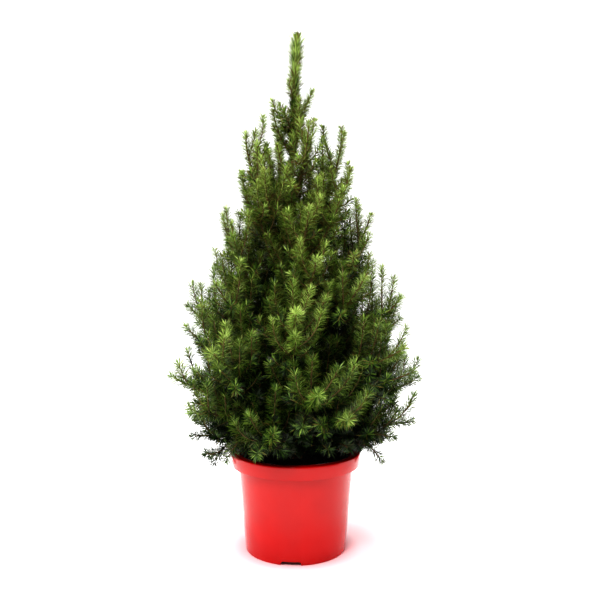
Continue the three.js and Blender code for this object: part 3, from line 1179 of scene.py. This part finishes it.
    def _twig(self, parent: Shoot, habit: Habit, chance: Seeded, k: int, count: int) -> Shoot | None:
        """Grows one twig where there is room.

        Args:
            parent: the shoot that carries it.
            habit: how it springs.
            chance: the parent's repeatable numbers.
            k: its number on the parent.
            count: how many the parent may carry.

        Returns:
            The twig, or none where it would be short, crowded or outside the crown.
        """
        total = parent.path.length()
        height = (parent.path.tip[2] - SHAPE.pot_height) / (SHAPE.tree_top - SHAPE.pot_height)
        place = (k * 0.618 + 0.5) % 1.0
        share = habit.first + (habit.last - habit.first) * (place + chance.next() / count) / (1 + 1 / count)
        if parent.path.root[2] > SHAPE.trunk_end and share > 0.3:
            return None
        roll = math.radians(habit.rolls[k % len(habit.rolls)] + chance.spread(16))
        opening = math.radians(habit.opening + chance.spread(9))
        wished = min(habit.longest, total * (habit.least + habit.more * (1 - share)))
        length = wished * (0.9 + chance.spread(0.22))
        lift = habit.lift + habit.gain * min(1.0, 2.4 * height) + chance.spread(0.1)
        limit = 1 - self.unevenness * chance.next() ** 1.5 if habit.order < 4 else self.inner_reach
        clear = habit.clear * (1 + self.openness * min(1.0, max(0.0, (parent.path.tip[2] - 440) / 160)))
        for part in self.tries:
            path = side_path(parent.path, share, roll, opening, length * part, lift)
            if path.length() < habit.shortest:
                return None
            if self._inside(path, limit) and self.thicket.clearance(path) >= clear:
                return self._keep(path, habit.order, habit.radius, 0.0, parent.zone)
        return None

    def _inside(self, path: Path, limit: float) -> bool:
        """Tells whether a shoot stays where it should.

        Args:
            path: its line.
            limit: the share of the crown's reach that it may take.

        Returns:
            Whether it stays within that, off the pot and above the lowest tips.
        """
        points = path.at(np.linspace(0.2, 1, 9))
        reaches = np.hypot(points[:, 0], points[:, 1])
        within = all(reach <= crown_reach(z) * limit for reach, z in zip(reaches, points[:, 2]))
        clear = SHAPE.pot_distance(points).min() > self.pot_margin
        return within and clear and path.tip[2] > self.lowest_tip

    def _trunk_sprays(self) -> None:
        """Grows short sprays straight from the trunk, and the leader's few spurs."""
        chance = Seeded(50021)
        tall = SHAPE.trunk_end - SHAPE.soil_top
        for k, z in enumerate(np.arange(SHAPE.soil_top + 26, self.spray_top, self.spray_step)):
            half = 17 + chance.spread(6) + 8 * (SHAPE.trunk_end - z) / tall
            path = self._upswept(z, RULE.golden * k, half)
            if self.thicket.clearance(path) > self.spray_clear:
                self._keep(path, 4, 1.1, 0.0, Zone.at(z))
        for z, turn, half in self.spurs:
            self._keep(self._upswept(z, turn, half), 2, 1.2, 0.0, Zone.TOP)

    @staticmethod
    def _upswept(z: float, turn: float, half: float) -> Path:
        """Returns a shoot that springs from the trunk and turns upwards.

        Args:
            z: where on the trunk.
            turn: its direction in degrees.
            half: the length of each of its two halves.

        Returns:
            The shoot's line.
        """
        root = SHAPE.trunk_at(z)
        out = np.array([math.cos(math.radians(turn)), math.sin(math.radians(turn)), 0.0])
        knee = root + (out * 0.8 + UP * 0.6) * half
        return Path(root, knee, knee + (out * 0.35 + UP * 0.94) * half)


def above(value: np.ndarray, start: float, span: float) -> np.ndarray:
    """Returns 0 to 1 as a value climbs over a span from its start."""
    return np.clip((value - start) / span, 0, 1)


def below(value: np.ndarray, start: float, span: float) -> np.ndarray:
    """Returns 0 to 1 as a value drops over a span from its start."""
    return np.clip((start - value) / span, 0, 1)


@dataclass(frozen=True)
class NeedleLightAndAge:
    """How each spray's needles are dealt into tints, from 0 in painted shade to 4 for painted light and new
    growth: needles further out and higher up are painted lighter, those on inner twigs, low by the rim and
    between the leader's tufts are painted darker, while the tips' new growth and the old needles take their
    own colours.

    A band is a height where a change starts and the span that it takes.
    """

    # painted light on the crown's outside
    outermost: float = 2.1
    tip: float = 0.5
    tip_fade: float = 16
    # crest and crest_open: painted light high in the crown, also on its inside
    crest: float = 0.9
    crest_band: tuple[float, float] = (345, 170)
    crest_open: float = 0.85
    # painted light above the lowest part of the crown
    lift: float = 0.85
    lift_band: tuple[float, float] = (225, 120)
    # painted shade low down by the pot's rim
    foot: float = 1.2
    foot_band: tuple[float, float] = (208, 52)
    # painted shade on third-order and inner twigs, inside the crown
    third: float = 0.3
    inner: float = 1.0
    # painted shade at the leader's foot; tuft is the step of painted shade and light along its tufts
    leader_foot: float = 1.7
    leader_band: tuple[float, float] = (682, 34)
    tuft: float = 3.2
    spray: float = 12.0
    spray_luck: float = 0.3
    needle_luck: float = 1.0
    old: float = 0.16

    def tints(self, shoot: Shoot, share: np.ndarray, to_tip: np.ndarray, root: np.ndarray,
              chance: np.random.Generator) -> np.ndarray:
        """Deals out tints by how near the tip, how far out and how high a needle grows: nearness to the tip
        is new growth, while how far out and how high stand for painted light and shade.

        Args:
            shoot: the shoot that carries the needles.
            share: each needle's place along it.
            to_tip: the length from there to the tip.
            root: each needle's root.
            chance: the shoot's repeatable numbers.

        Returns:
            Each needle's tint number.
        """
        sprays = (to_tip // self.spray).astype(int)
        luck = chance.normal(0, self.spray_luck) + chance.normal(0, self.spray_luck, sprays.max() + 1)[sprays]
        luck = luck + chance.normal(0, self.needle_luck, len(share))
        z = root[:, 2]
        reach = np.array([crown_reach(height) for height in z])
        # painted light and shade: how far out and how high a needle grows
        high, lifted = above(z, *self.crest_band), above(z, *self.lift_band)
        exposure = np.maximum(np.hypot(root[:, 0], root[:, 1]) / reach, self.crest_open * high)
        # painted light on the outside, and the real lighter green of new growth at the tips
        young = self.outermost * np.clip(exposure, 0, 1) ** 2 + self.tip * np.exp(-to_tip / self.tip_fade)
        young = young + self.crest * high + self.lift * lifted + luck
        # painted shade low by the pot's rim and inside the crown
        young -= self.foot * below(z, *self.foot_band)
        young -= {3: self.third, 4: self.inner}.get(shoot.order, 0.0)
        if shoot.leading:
            # painted shade at the leader's foot and between its tufts
            young -= self.leader_foot * below(z, *self.leader_band) + np.sin(to_tip / self.tuft)
        tints = np.clip(np.round(young), 0, Tint.FRESH.number).astype(int)
        old = chance.random(len(share)) < self.old * (1.5 - share) * (1 + high + 0.5 * lifted)
        return np.where(old & (tints > Tint.SHADE.number), Tint.OLIVE.number, tints)


@dataclass
class Needles:
    """The needles on every shoot."""

    shoots: list[Shoot]
    per_mm: float = 3.8
    length: float = 14.4
    width: float = 1.04
    lean: float = 66
    lean_spread: float = 12
    closing: float = 7
    brush: float = 1.2
    crest_band: tuple[float, float] = (420, 200)
    short_band: tuple[float, float] = (260, 300)
    inner_crowd: float = 0.62
    inner_width: float = 1.4
    foot_crowd: float = 1.1
    foot_height: float = 215
    leader_crowd: float = 2.5
    leader_width: float = 1.15
    leader_length: float = 1.62
    leader_lean: float = 44
    leader_closing: float = 24
    leader_waist: tuple[tuple[float, float], ...] = (
        (566, 0.9), (626, 0.95), (644, 0.66), (664, 1.0), (742, 1.06),
    )
    leader_over: float = 6
    golden: float = 2.39996
    light_and_age: NeedleLightAndAge = NeedleLightAndAge()

    def build(self) -> None:
        """Makes one piece for each zone and tint."""
        gathered: dict[tuple[Zone, int], list[tuple[np.ndarray, np.ndarray]]] = {}
        for number, shoot in enumerate(self.shoots):
            chance = np.random.default_rng(7000 + number)
            share, root, axes = self._grown(shoot, chance)
            tints = self.light_and_age.tints(shoot, share, (1 - share) * shoot.path.length(), root, chance)
            free = SHAPE.pot_distance(root + axes[:, 2]) > 0.5
            for tint in Tint:
                chosen = free & (tints == tint.number)
                if chosen.any():
                    gathered.setdefault((shoot.zone, tint.number), []).append((root[chosen], axes[chosen]))
        form = Form.needle()
        finishes = {tint: tint.material() for tint in Tint}
        for zone in Zone:
            nodes = [f"foliage_{name}" for name in zone_masses(zone)]
            for tint in Tint:
                parts = gathered.get((zone, tint.number))
                if not parts:
                    continue
                roots, axes = (np.concatenate(column) * MM for column in zip(*parts))
                name = f"needles_{zone.name.lower()}_{tint.name.lower()}"
                add_piece(name, form.repeated(name, roots, axes), finishes[tint], nodes)

    def _grown(self, shoot: Shoot, chance: np.random.Generator) -> tuple[np.ndarray, np.ndarray, np.ndarray]:
        """Grows one shoot's needles.

        Args:
            shoot: the shoot.
            chance: its own repeatable numbers.

        Returns:
            Each needle's place along the shoot, its root and its three axes.
        """
        total = shoot.path.length()
        leading = shoot.leading
        count = max(8, int(total * (1 - shoot.bare) * self.per_mm * self._crowd(shoot)))
        place = (np.arange(count) + chance.random(count)) / count
        share = 1 - (1 - shoot.bare) * (1 - place) ** (1.0 if leading else self.brush)
        root = shoot.path.at(share)
        along = shoot.path.way(share)
        to_tip = (1 - share) * total
        turn = np.arange(count) * self.golden + chance.normal(0, 0.35, count)
        side = np.cross(along, UP + 1e-3)
        side /= np.linalg.norm(side, axis=1, keepdims=True)
        over = np.cross(side, along)
        out = side * np.cos(turn)[:, None] + over * np.sin(turn)[:, None]
        closing = np.clip(1 - to_tip / (self.leader_closing if leading else self.closing), 0, 1)
        high = above(root[:, 2], *self.crest_band)
        lean = self.leader_lean if leading else self.lean - 4 * high
        lean = lean + chance.normal(0, self.lean_spread, count)
        lean = np.radians(lean) * (1 - (0.4 * closing if leading else 0.55 * closing * chance.random(count)))
        way = along * np.cos(lean)[:, None] + out * np.sin(lean)[:, None] + UP * 0.08
        way /= np.linalg.norm(way, axis=1, keepdims=True)
        length = self._lengths(shoot, share, root, way, chance)
        low = below(root[:, 2], self.foot_height, 40)
        kind = self.inner_width if shoot.order == 4 else self.leader_width if leading else 1.0
        stout = (1 + 0.28 * high + 0.2 * low) * kind
        width = self.width * (0.85 + 0.3 * chance.random(count)) / 2 * stout
        across = np.cross(way, along)
        across /= np.linalg.norm(across, axis=1, keepdims=True) + 1e-9
        third = np.cross(way, across)
        axes = np.stack([across * width[:, None], third * width[:, None], way * length[:, None]], axis=1)
        return share, root, axes

    def _crowd(self, shoot: Shoot) -> float:
        """Tells how densely a shoot is needled.

        Args:
            shoot: the shoot.

        Returns:
            Its share of the usual number of needles.
        """
        x, y, z = shoot.path.tip
        if shoot.leading:
            return self.leader_crowd
        if z < self.foot_height and math.hypot(x, y) > SHAPE.lip_radius:
            return self.foot_crowd
        return self.inner_crowd if shoot.order == 4 else 1.0

    def _lengths(self, shoot: Shoot, share: np.ndarray, root: np.ndarray, way: np.ndarray,
                 chance: np.random.Generator) -> np.ndarray:
        """Gives each needle its length.

        Args:
            shoot: the shoot.
            share: each needle's place along it.
            root: each needle's root.
            way: each needle's direction.
            chance: the shoot's repeatable numbers.

        Returns:
            The lengths, with the leader's kept under the top of the tree.
        """
        along = share * shoot.path.length()
        to_tip = (1 - share) * shoot.path.length()
        young = np.clip(to_tip / 8, 0.9, 1) * np.clip(along / 12 + 0.5, 0.5, 1)
        short = 1 - 0.2 * above(root[:, 2], *self.short_band)
        length = self.length * young * short * (1 + chance.normal(0, 0.1, len(share)))
        if not shoot.leading:
            return length
        tufts = np.interp(root[:, 2], *zip(*self.leader_waist)) * (1 + chance.normal(0, 0.14, len(share)))
        room = (SHAPE.tree_top + self.leader_over - root[:, 2]) / way[:, 2]
        room *= 1 - 0.55 * chance.random(len(share))
        return np.minimum(length * self.leader_length * tufts, room)


def zone_masses(zone: Zone) -> list[str]:
    """Lists a zone's masses.

    Args:
        zone: the zone.

    Returns:
        Their names.
    """
    whorls = [whorl for level, whorl in enumerate(WHORLS) if Zone.of(level) is zone]
    names = [f"{whorl.name}_{k + 1}" for whorl in whorls for k in range(whorl.count)]
    return names + (["leader"] if zone is Zone.TOP else [])


def rods(name: str, lines: Iterable[tuple[np.ndarray, np.ndarray]], facets: int) -> bpy.types.Mesh:
    """Sweeps closed tapering rods along lines.

    Args:
        name: the mesh's name.
        lines: points and radii in millimetres for each rod.
        facets: how many go round each rod, an even number from 4.

    Returns:
        One mesh of all the rods.
    """
    curve = bpy.data.curves.new(name, "CURVE")
    curve.dimensions = "3D"
    curve.bevel_depth = MM
    curve.bevel_resolution = facets // 2 - 2
    curve.use_fill_caps = True
    for points, radii in lines:
        spline = curve.splines.new("POLY")
        spline.points.add(len(points) - 1)
        spline.points.foreach_set("co", np.c_[points * MM, np.ones(len(points))].reshape(-1))
        spline.points.foreach_set("radius", radii)
    holder = bpy.data.objects.new(name, curve)
    mesh = bpy.data.meshes.new_from_object(holder)
    bpy.data.objects.remove(holder)
    bpy.data.curves.remove(curve)
    shape = bmesh.new()
    shape.from_mesh(mesh)
    bpy.data.meshes.remove(mesh)
    bmesh.ops.remove_doubles(shape, verts=shape.verts[:], dist=1e-7)
    bmesh.ops.recalc_face_normals(shape, faces=shape.faces[:])
    return meshed(shape, name)


@dataclass
class Twigs:
    """The stems inside the foliage."""

    shoots: list[Shoot]
    points: int = 7
    limb_points: int = 12

    def build(self) -> None:
        """Makes one piece of twigs for each zone."""
        finish = YoungBark().material()
        for zone in Zone:
            lines = [self._line(shoot) for shoot in self.shoots if shoot.zone is zone]
            name = f"twigs_{zone.name.lower()}"
            nodes = [f"foliage_{mass}" for mass in zone_masses(zone)]
            add_piece(name, rods(name, lines, 4), finish, nodes)

    def _line(self, shoot: Shoot) -> tuple[np.ndarray, np.ndarray]:
        """Traces a shoot's stem, from where its bough ends if it has one.

        Args:
            shoot: the shoot.

        Returns:
            Points and radii along the stem.
        """
        start = RULE.bare if shoot.order == 1 and shoot.bare > 0.2 else 0.0
        share = np.linspace(start, 0.97, self.limb_points if shoot.order == 1 else self.points)
        first = shoot.radius * (RULE.bough_taper if start else 1.0)
        return shoot.path.at(share), np.linspace(first, shoot.end_radius, len(share))


# ---------------------------------------------------------------- trunk and boughs


@dataclass
class Limbs:
    """The trunk and main boughs, with the bark's relief."""

    crown: Crown
    trunk_rings: int = 150
    trunk_facets: int = 24
    bough_rings: int = 14
    bough_facets: int = 12
    bough_lap: float = 0.03
    relief: float = 0.35

    def build(self) -> None:
        """Makes the trunk and the boughs."""
        finish = ScalyBark().material()
        heights = np.linspace(SHAPE.soil_top - 2, SHAPE.trunk_end, self.trunk_rings)
        points = np.array([SHAPE.trunk_at(z) for z in heights])
        radii = np.array([SHAPE.trunk_radius_at(z) for z in heights])
        trunk = self._rough(rods("trunk_bark", [(points, radii)], self.trunk_facets), "trunk_bark")
        add_piece("trunk_bark", trunk, finish, ["trunk"])
        boughed = [mass for mass in self.crown.masses if mass.boughed]
        lines = []
        for mass in boughed:
            share = np.linspace(0.0, RULE.bare + self.bough_lap, self.bough_rings)
            first = mass.whorl.root
            last = first * RULE.bough_taper * 0.95
            lines.append((mass.path.at(share), np.linspace(first, last, self.bough_rings)))
        boughs = self._rough(rods("bough_bark", lines, self.bough_facets), "bough_bark")
        add_piece("bough_bark", boughs, finish, [f"bough_{mass.name}" for mass in boughed])

    def _rough(self, mesh: bpy.types.Mesh, name: str) -> bpy.types.Mesh:
        """Pushes a limb's surface in and out by the bark's scales.

        Args:
            mesh: the smooth limb, which is used up.
            name: the new mesh's name.

        Returns:
            The rough limb.
        """
        shape = bmesh.new()
        shape.from_mesh(mesh)
        bpy.data.meshes.remove(mesh)
        for corner in shape.verts:
            place = Vector((corner.co.x, corner.co.y, corner.co.z * 0.4)) * 300
            rise = noise.noise(place) * 0.7 + noise.noise(place * 3) * 0.3
            corner.co += corner.normal * rise * self.relief * MM
        return meshed(shape, name)


# ---------------------------------------------------------------- pot and potting mix


@dataclass
class Pot:
    """The moulded pot with its overhanging lip and drain slots."""

    facets: int = 144
    edge_round: float = 0.45
    drain_count: int = 3
    drain_width: float = 29
    drain_height: float = 5.5
    drain_depth: float = 14
    drain_round: float = 3.6
    drain_turn: float = -95

    def build(self) -> None:
        """Makes the pot."""
        shell = turned(self._profile(), self.facets)
        edges = [e for e in shell.edges if len(e.link_faces) == 2 and e.calc_face_angle(0) > 0.35]
        bmesh.ops.bevel(
            shell, geom=edges, offset=self.edge_round * MM, affect="EDGES", segments=3, profile=0.5,
            material=-1, clamp_overlap=True,
        )
        finish = MouldedPlastic().material()
        pot = add_piece("pot_shell", meshed(shell, "pot_shell"), finish, ["pot"])
        self._cut_drains(pot)
        pot.data.set_sharp_from_angle(angle=math.radians(40))

    def _profile(self) -> list[tuple[float, float]]:
        """Returns the wall's outline from the axis under the floor to the axis above it."""
        s = SHAPE
        lip_foot = s.pot_height - s.lip_drop
        under = s.pot_height - s.wall
        return [
            (0, 0),
            (s.base_radius - 1.2, 0),
            (s.base_radius, 1.2),
            (s.shoulder_radius, lip_foot),
            (s.shoulder_radius + s.lip_draft, under),
            (s.lip_radius - s.wall, under),
            (s.lip_radius - s.wall - s.lip_draft, lip_foot),
            (s.lip_radius - s.lip_draft, lip_foot),
            (s.lip_radius, s.pot_height - 2.4),
            (s.lip_radius - 0.25, s.pot_height - 1.2),
            (s.lip_radius - 0.72, s.pot_height - 0.55),
            (s.lip_radius - 1.5, s.pot_height - 0.12),
            (s.lip_radius - 2.4, s.pot_height),
            (s.shoulder_radius - s.lip_plate + s.lip_draft, s.pot_height),
            (s.wall_inside(lip_foot), lip_foot),
            (s.wall_inside(s.floor + s.fillet), s.floor + s.fillet),
            (s.wall_inside(s.floor) - s.fillet, s.floor),
            (0, s.floor),
        ]

    def _cut_drains(self, pot: bpy.types.Object) -> None:
        """Cuts the drain slots through the bottom corner.

        Args:
            pot: the uncut pot, whose mesh is replaced.
        """
        knife = bpy.data.objects.new("drain_knife", meshed(self._drains(), "drain_knife", False))
        bpy.context.scene.collection.objects.link(knife)
        cut = pot.modifiers.new("drains", "BOOLEAN")
        cut.object = knife
        cut.solver = "EXACT"
        bpy.context.view_layer.update()
        shell = bpy.data.meshes.new_from_object(pot.evaluated_get(bpy.context.evaluated_depsgraph_get()))
        old = pot.data
        pot.modifiers.clear()
        pot.data = shell
        bpy.data.meshes.remove(old)
        bpy.data.objects.remove(knife)
        shell.name = "pot_shell"
        self._weld(shell)

    def _drains(self) -> bmesh.types.BMesh:
        """Returns the drain slots as blocks with rounded tops."""
        cutter = bmesh.new()
        size = Vector((self.drain_depth * 2, self.drain_width, self.drain_height * 2)) * MM
        for k in range(self.drain_count):
            turn = Matrix.Rotation(math.radians(self.drain_turn + 360 * k / self.drain_count), 4, "Z")
            place = turn @ Matrix.Translation((SHAPE.base_radius * MM, 0, 0)) @ Matrix.Diagonal((*size, 1))
            made = bmesh.ops.create_cube(cutter, size=1.0, matrix=place)
            top = [e for v in made["verts"] for e in v.link_edges
                   if all(abs(c.co.z - self.drain_height * MM) < 1e-6 for c in e.verts)]
            bmesh.ops.bevel(
                cutter, geom=list(set(top)), offset=self.drain_round * MM, affect="EDGES", segments=3,
                profile=0.5, material=-1,
            )
        return cutter

    @staticmethod
    def _weld(mesh: bpy.types.Mesh, distance: float = 2e-6) -> None:
        """Closes the hairline seams that a cut leaves.

        Args:
            mesh: the mesh, changed in place.
            distance: how far apart its doubles lie, in metres.
        """
        shape = bmesh.new()
        shape.from_mesh(mesh)
        bmesh.ops.remove_doubles(shape, verts=shape.verts[:], dist=distance)
        bmesh.ops.dissolve_degenerate(shape, edges=shape.edges[:], dist=distance)
        shape.to_mesh(mesh)
        shape.free()


@dataclass
class PottingBed:
    """The potting mix with its crumbs."""

    rings: int = 26
    facets: int = 96
    crumbs: int = 900
    crumb_reach: float = 78

    def build(self) -> None:
        """Makes the bed and the loose crumbs on it."""
        finish = PottingMix().material()
        bed = turned(self._profile(), self.facets)
        for corner in bed.verts:
            if corner.co.z > (SHAPE.soil_top - 4) * MM:
                place = corner.co * 110
                corner.co.z += (noise.noise(place) * 1.6 + noise.noise(place * 3.3) * 0.7) * MM
        add_piece("potting_mix", meshed(bed, "potting_mix"), finish, ["soil"])
        chance = np.random.default_rng(611)
        radius = self.crumb_reach * np.sqrt(chance.random(self.crumbs))
        turn = chance.random(self.crumbs) * 2 * math.pi
        height = SHAPE.soil_top + chance.random(self.crumbs) * 1.2
        place = np.c_[radius * np.cos(turn), radius * np.sin(turn), height]
        axes = np.array([self._turned_axes(chance) for _ in range(self.crumbs)])
        sizes = 1.2 + 3.4 * chance.random((self.crumbs, 3)) ** 2
        crumbs = Form.clod().repeated("bark_crumbs", place * MM, axes * sizes[:, :, None] * MM)
        add_piece("bark_crumbs", crumbs, finish, ["soil"])

    def _profile(self) -> list[tuple[float, float]]:
        """Returns the bed's outline."""
        s = SHAPE
        wall_gap = 2 * s.gap
        edge = s.wall_inside(s.soil_top) - s.soil_mound - wall_gap
        top = [(edge * (1 - k / self.rings), s.soil_top + s.soil_mound * (2 * k / self.rings - 1))
               for k in range(self.rings + 1)]
        return [
            (0, s.floor + s.gap),
            (s.wall_inside(s.floor) - s.fillet - wall_gap, s.floor + s.gap),
            (s.wall_inside(s.floor + s.fillet) - wall_gap, s.floor + s.fillet + s.gap),
            (s.wall_inside(s.soil_top - s.lip_drop) - wall_gap, s.soil_top - s.lip_drop),
            *top,
        ]

    @staticmethod
    def _turned_axes(chance: np.random.Generator) -> np.ndarray:
        """Returns three square axes turned at random."""
        square, _ = np.linalg.qr(chance.normal(size=(3, 3)))
        return square * np.sign(np.linalg.det(square))


# ---------------------------------------------------------------- studio


@dataclass(frozen=True)
class Softbox:
    """A square area light aimed at the crown's middle, in metres and watts."""

    name: str
    place: Place
    size: float
    power: float
    colour: Colour = (1.0, 1.0, 1.0)
    aim: Place = (0, 0, 0.36)

    def build(self) -> None:
        """Makes the light."""
        lamp = bpy.data.lights.new(self.name, "AREA")
        lamp.size = self.size
        lamp.energy = self.power
        lamp.color = self.colour
        holder = bpy.data.objects.new(self.name, lamp)
        holder.location = self.place
        way = Vector(self.aim) - Vector(self.place)
        holder.rotation_euler = way.to_track_quat("-Z", "Y").to_euler()
        bpy.context.scene.collection.objects.link(holder)


@dataclass
class Studio:
    """White floor and backdrop, soft light and the camera."""

    camera_place: Place = (0.0063, -1.080, 0.4179)
    camera_pitch: float = 2.84
    lens: float = 44.6
    floor_radius: float = 6.0
    ambient: float = 0.34
    mirrored: float = 0.6
    overhead: float = 1.5
    overhead_angle: float = 40
    overhead_tilt: tuple[float, float] = (10, -6)
    softboxes: tuple[Softbox, ...] = (
        Softbox("key", (-0.6, -1.6, 1.9), 0.9, 37.0, (1.0, 0.98, 0.95)),
        Softbox("left_softbox", (-1.5, 0.1, 0.8), 1.3, 11.0),
        Softbox("right_softbox", (1.6, 0.35, 0.7), 1.2, 10.0),
        Softbox("top", (0.1, 0.3, 2.2), 1.2, 22.0),
    )

    def build(self) -> None:
        """Makes the studio."""
        self._floor()
        self._sun()
        for softbox in self.softboxes:
            softbox.build()
        self._backdrop()
        self._camera()
        view = bpy.context.scene.view_settings
        view.view_transform = "Standard"
        view.look = "High Contrast"

    def _backdrop(self) -> None:
        """Makes the white surroundings, dimmer to the object than they look."""
        world = bpy.data.worlds.new("studio_white")
        world.use_nodes = True
        backdrop = world.node_tree.nodes["Background"]
        backdrop.inputs["Color"].default_value = (1.0, 1.0, 1.0, 1.0)
        sky = Nodes(world.node_tree)
        seen, glossy = (
            sky.node("ShaderNodeLightPath", {}, {}, ray) for ray in ("Is Camera Ray", "Is Glossy Ray")
        )
        dimmed = self.ambient + (self.mirrored - self.ambient) * glossy
        sky.feed(backdrop.inputs["Strength"], dimmed + (1 - dimmed) * seen)
        bpy.context.scene.world = world

    def _floor(self) -> None:
        """Makes the floor."""
        sheet = bmesh.new()
        bmesh.ops.create_circle(sheet, cap_ends=True, segments=96, radius=self.floor_radius)
        floor = bpy.data.objects.new("studio_floor", meshed(sheet, "studio_floor", False))
        floor.data.materials.append(StudioPaper().material())
        bpy.context.scene.collection.objects.link(floor)

    def _sun(self) -> None:
        """Adds the wide overhead light that keeps the floor even."""
        lamp = bpy.data.lights.new("overhead", "SUN")
        lamp.energy = self.overhead
        lamp.angle = math.radians(self.overhead_angle)
        holder = bpy.data.objects.new("overhead", lamp)
        holder.rotation_euler = (*map(math.radians, self.overhead_tilt), 0)
        bpy.context.scene.collection.objects.link(holder)

    def _camera(self) -> None:
        """Adds the camera."""
        view = bpy.data.cameras.new("front_view")
        view.lens = self.lens
        view.sensor_width = 36
        holder = bpy.data.objects.new("front_view", view)
        holder.location = self.camera_place
        holder.rotation_euler = (math.radians(90 - self.camera_pitch), 0, 0)
        bpy.context.scene.collection.objects.link(holder)
        bpy.context.scene.camera = holder


def main() -> None:
    """Builds the plant, its pot and the studio."""
    logging.basicConfig(level=logging.INFO, format="%(name)s %(message)s")
    Studio().build()
    Pot().build()
    PottingBed().build()
    crown = Crown()
    Limbs(crown).build()
    shoots = FineGrowth(crown).grow()
    LOG.info("%d shoots, %.1f m", len(shoots), sum(s.path.length() for s in shoots) * MM)
    Twigs(shoots).build()
    Needles(shoots).build()
    bpy.context.view_layer.update()


if __name__ == "__main__":
    main()
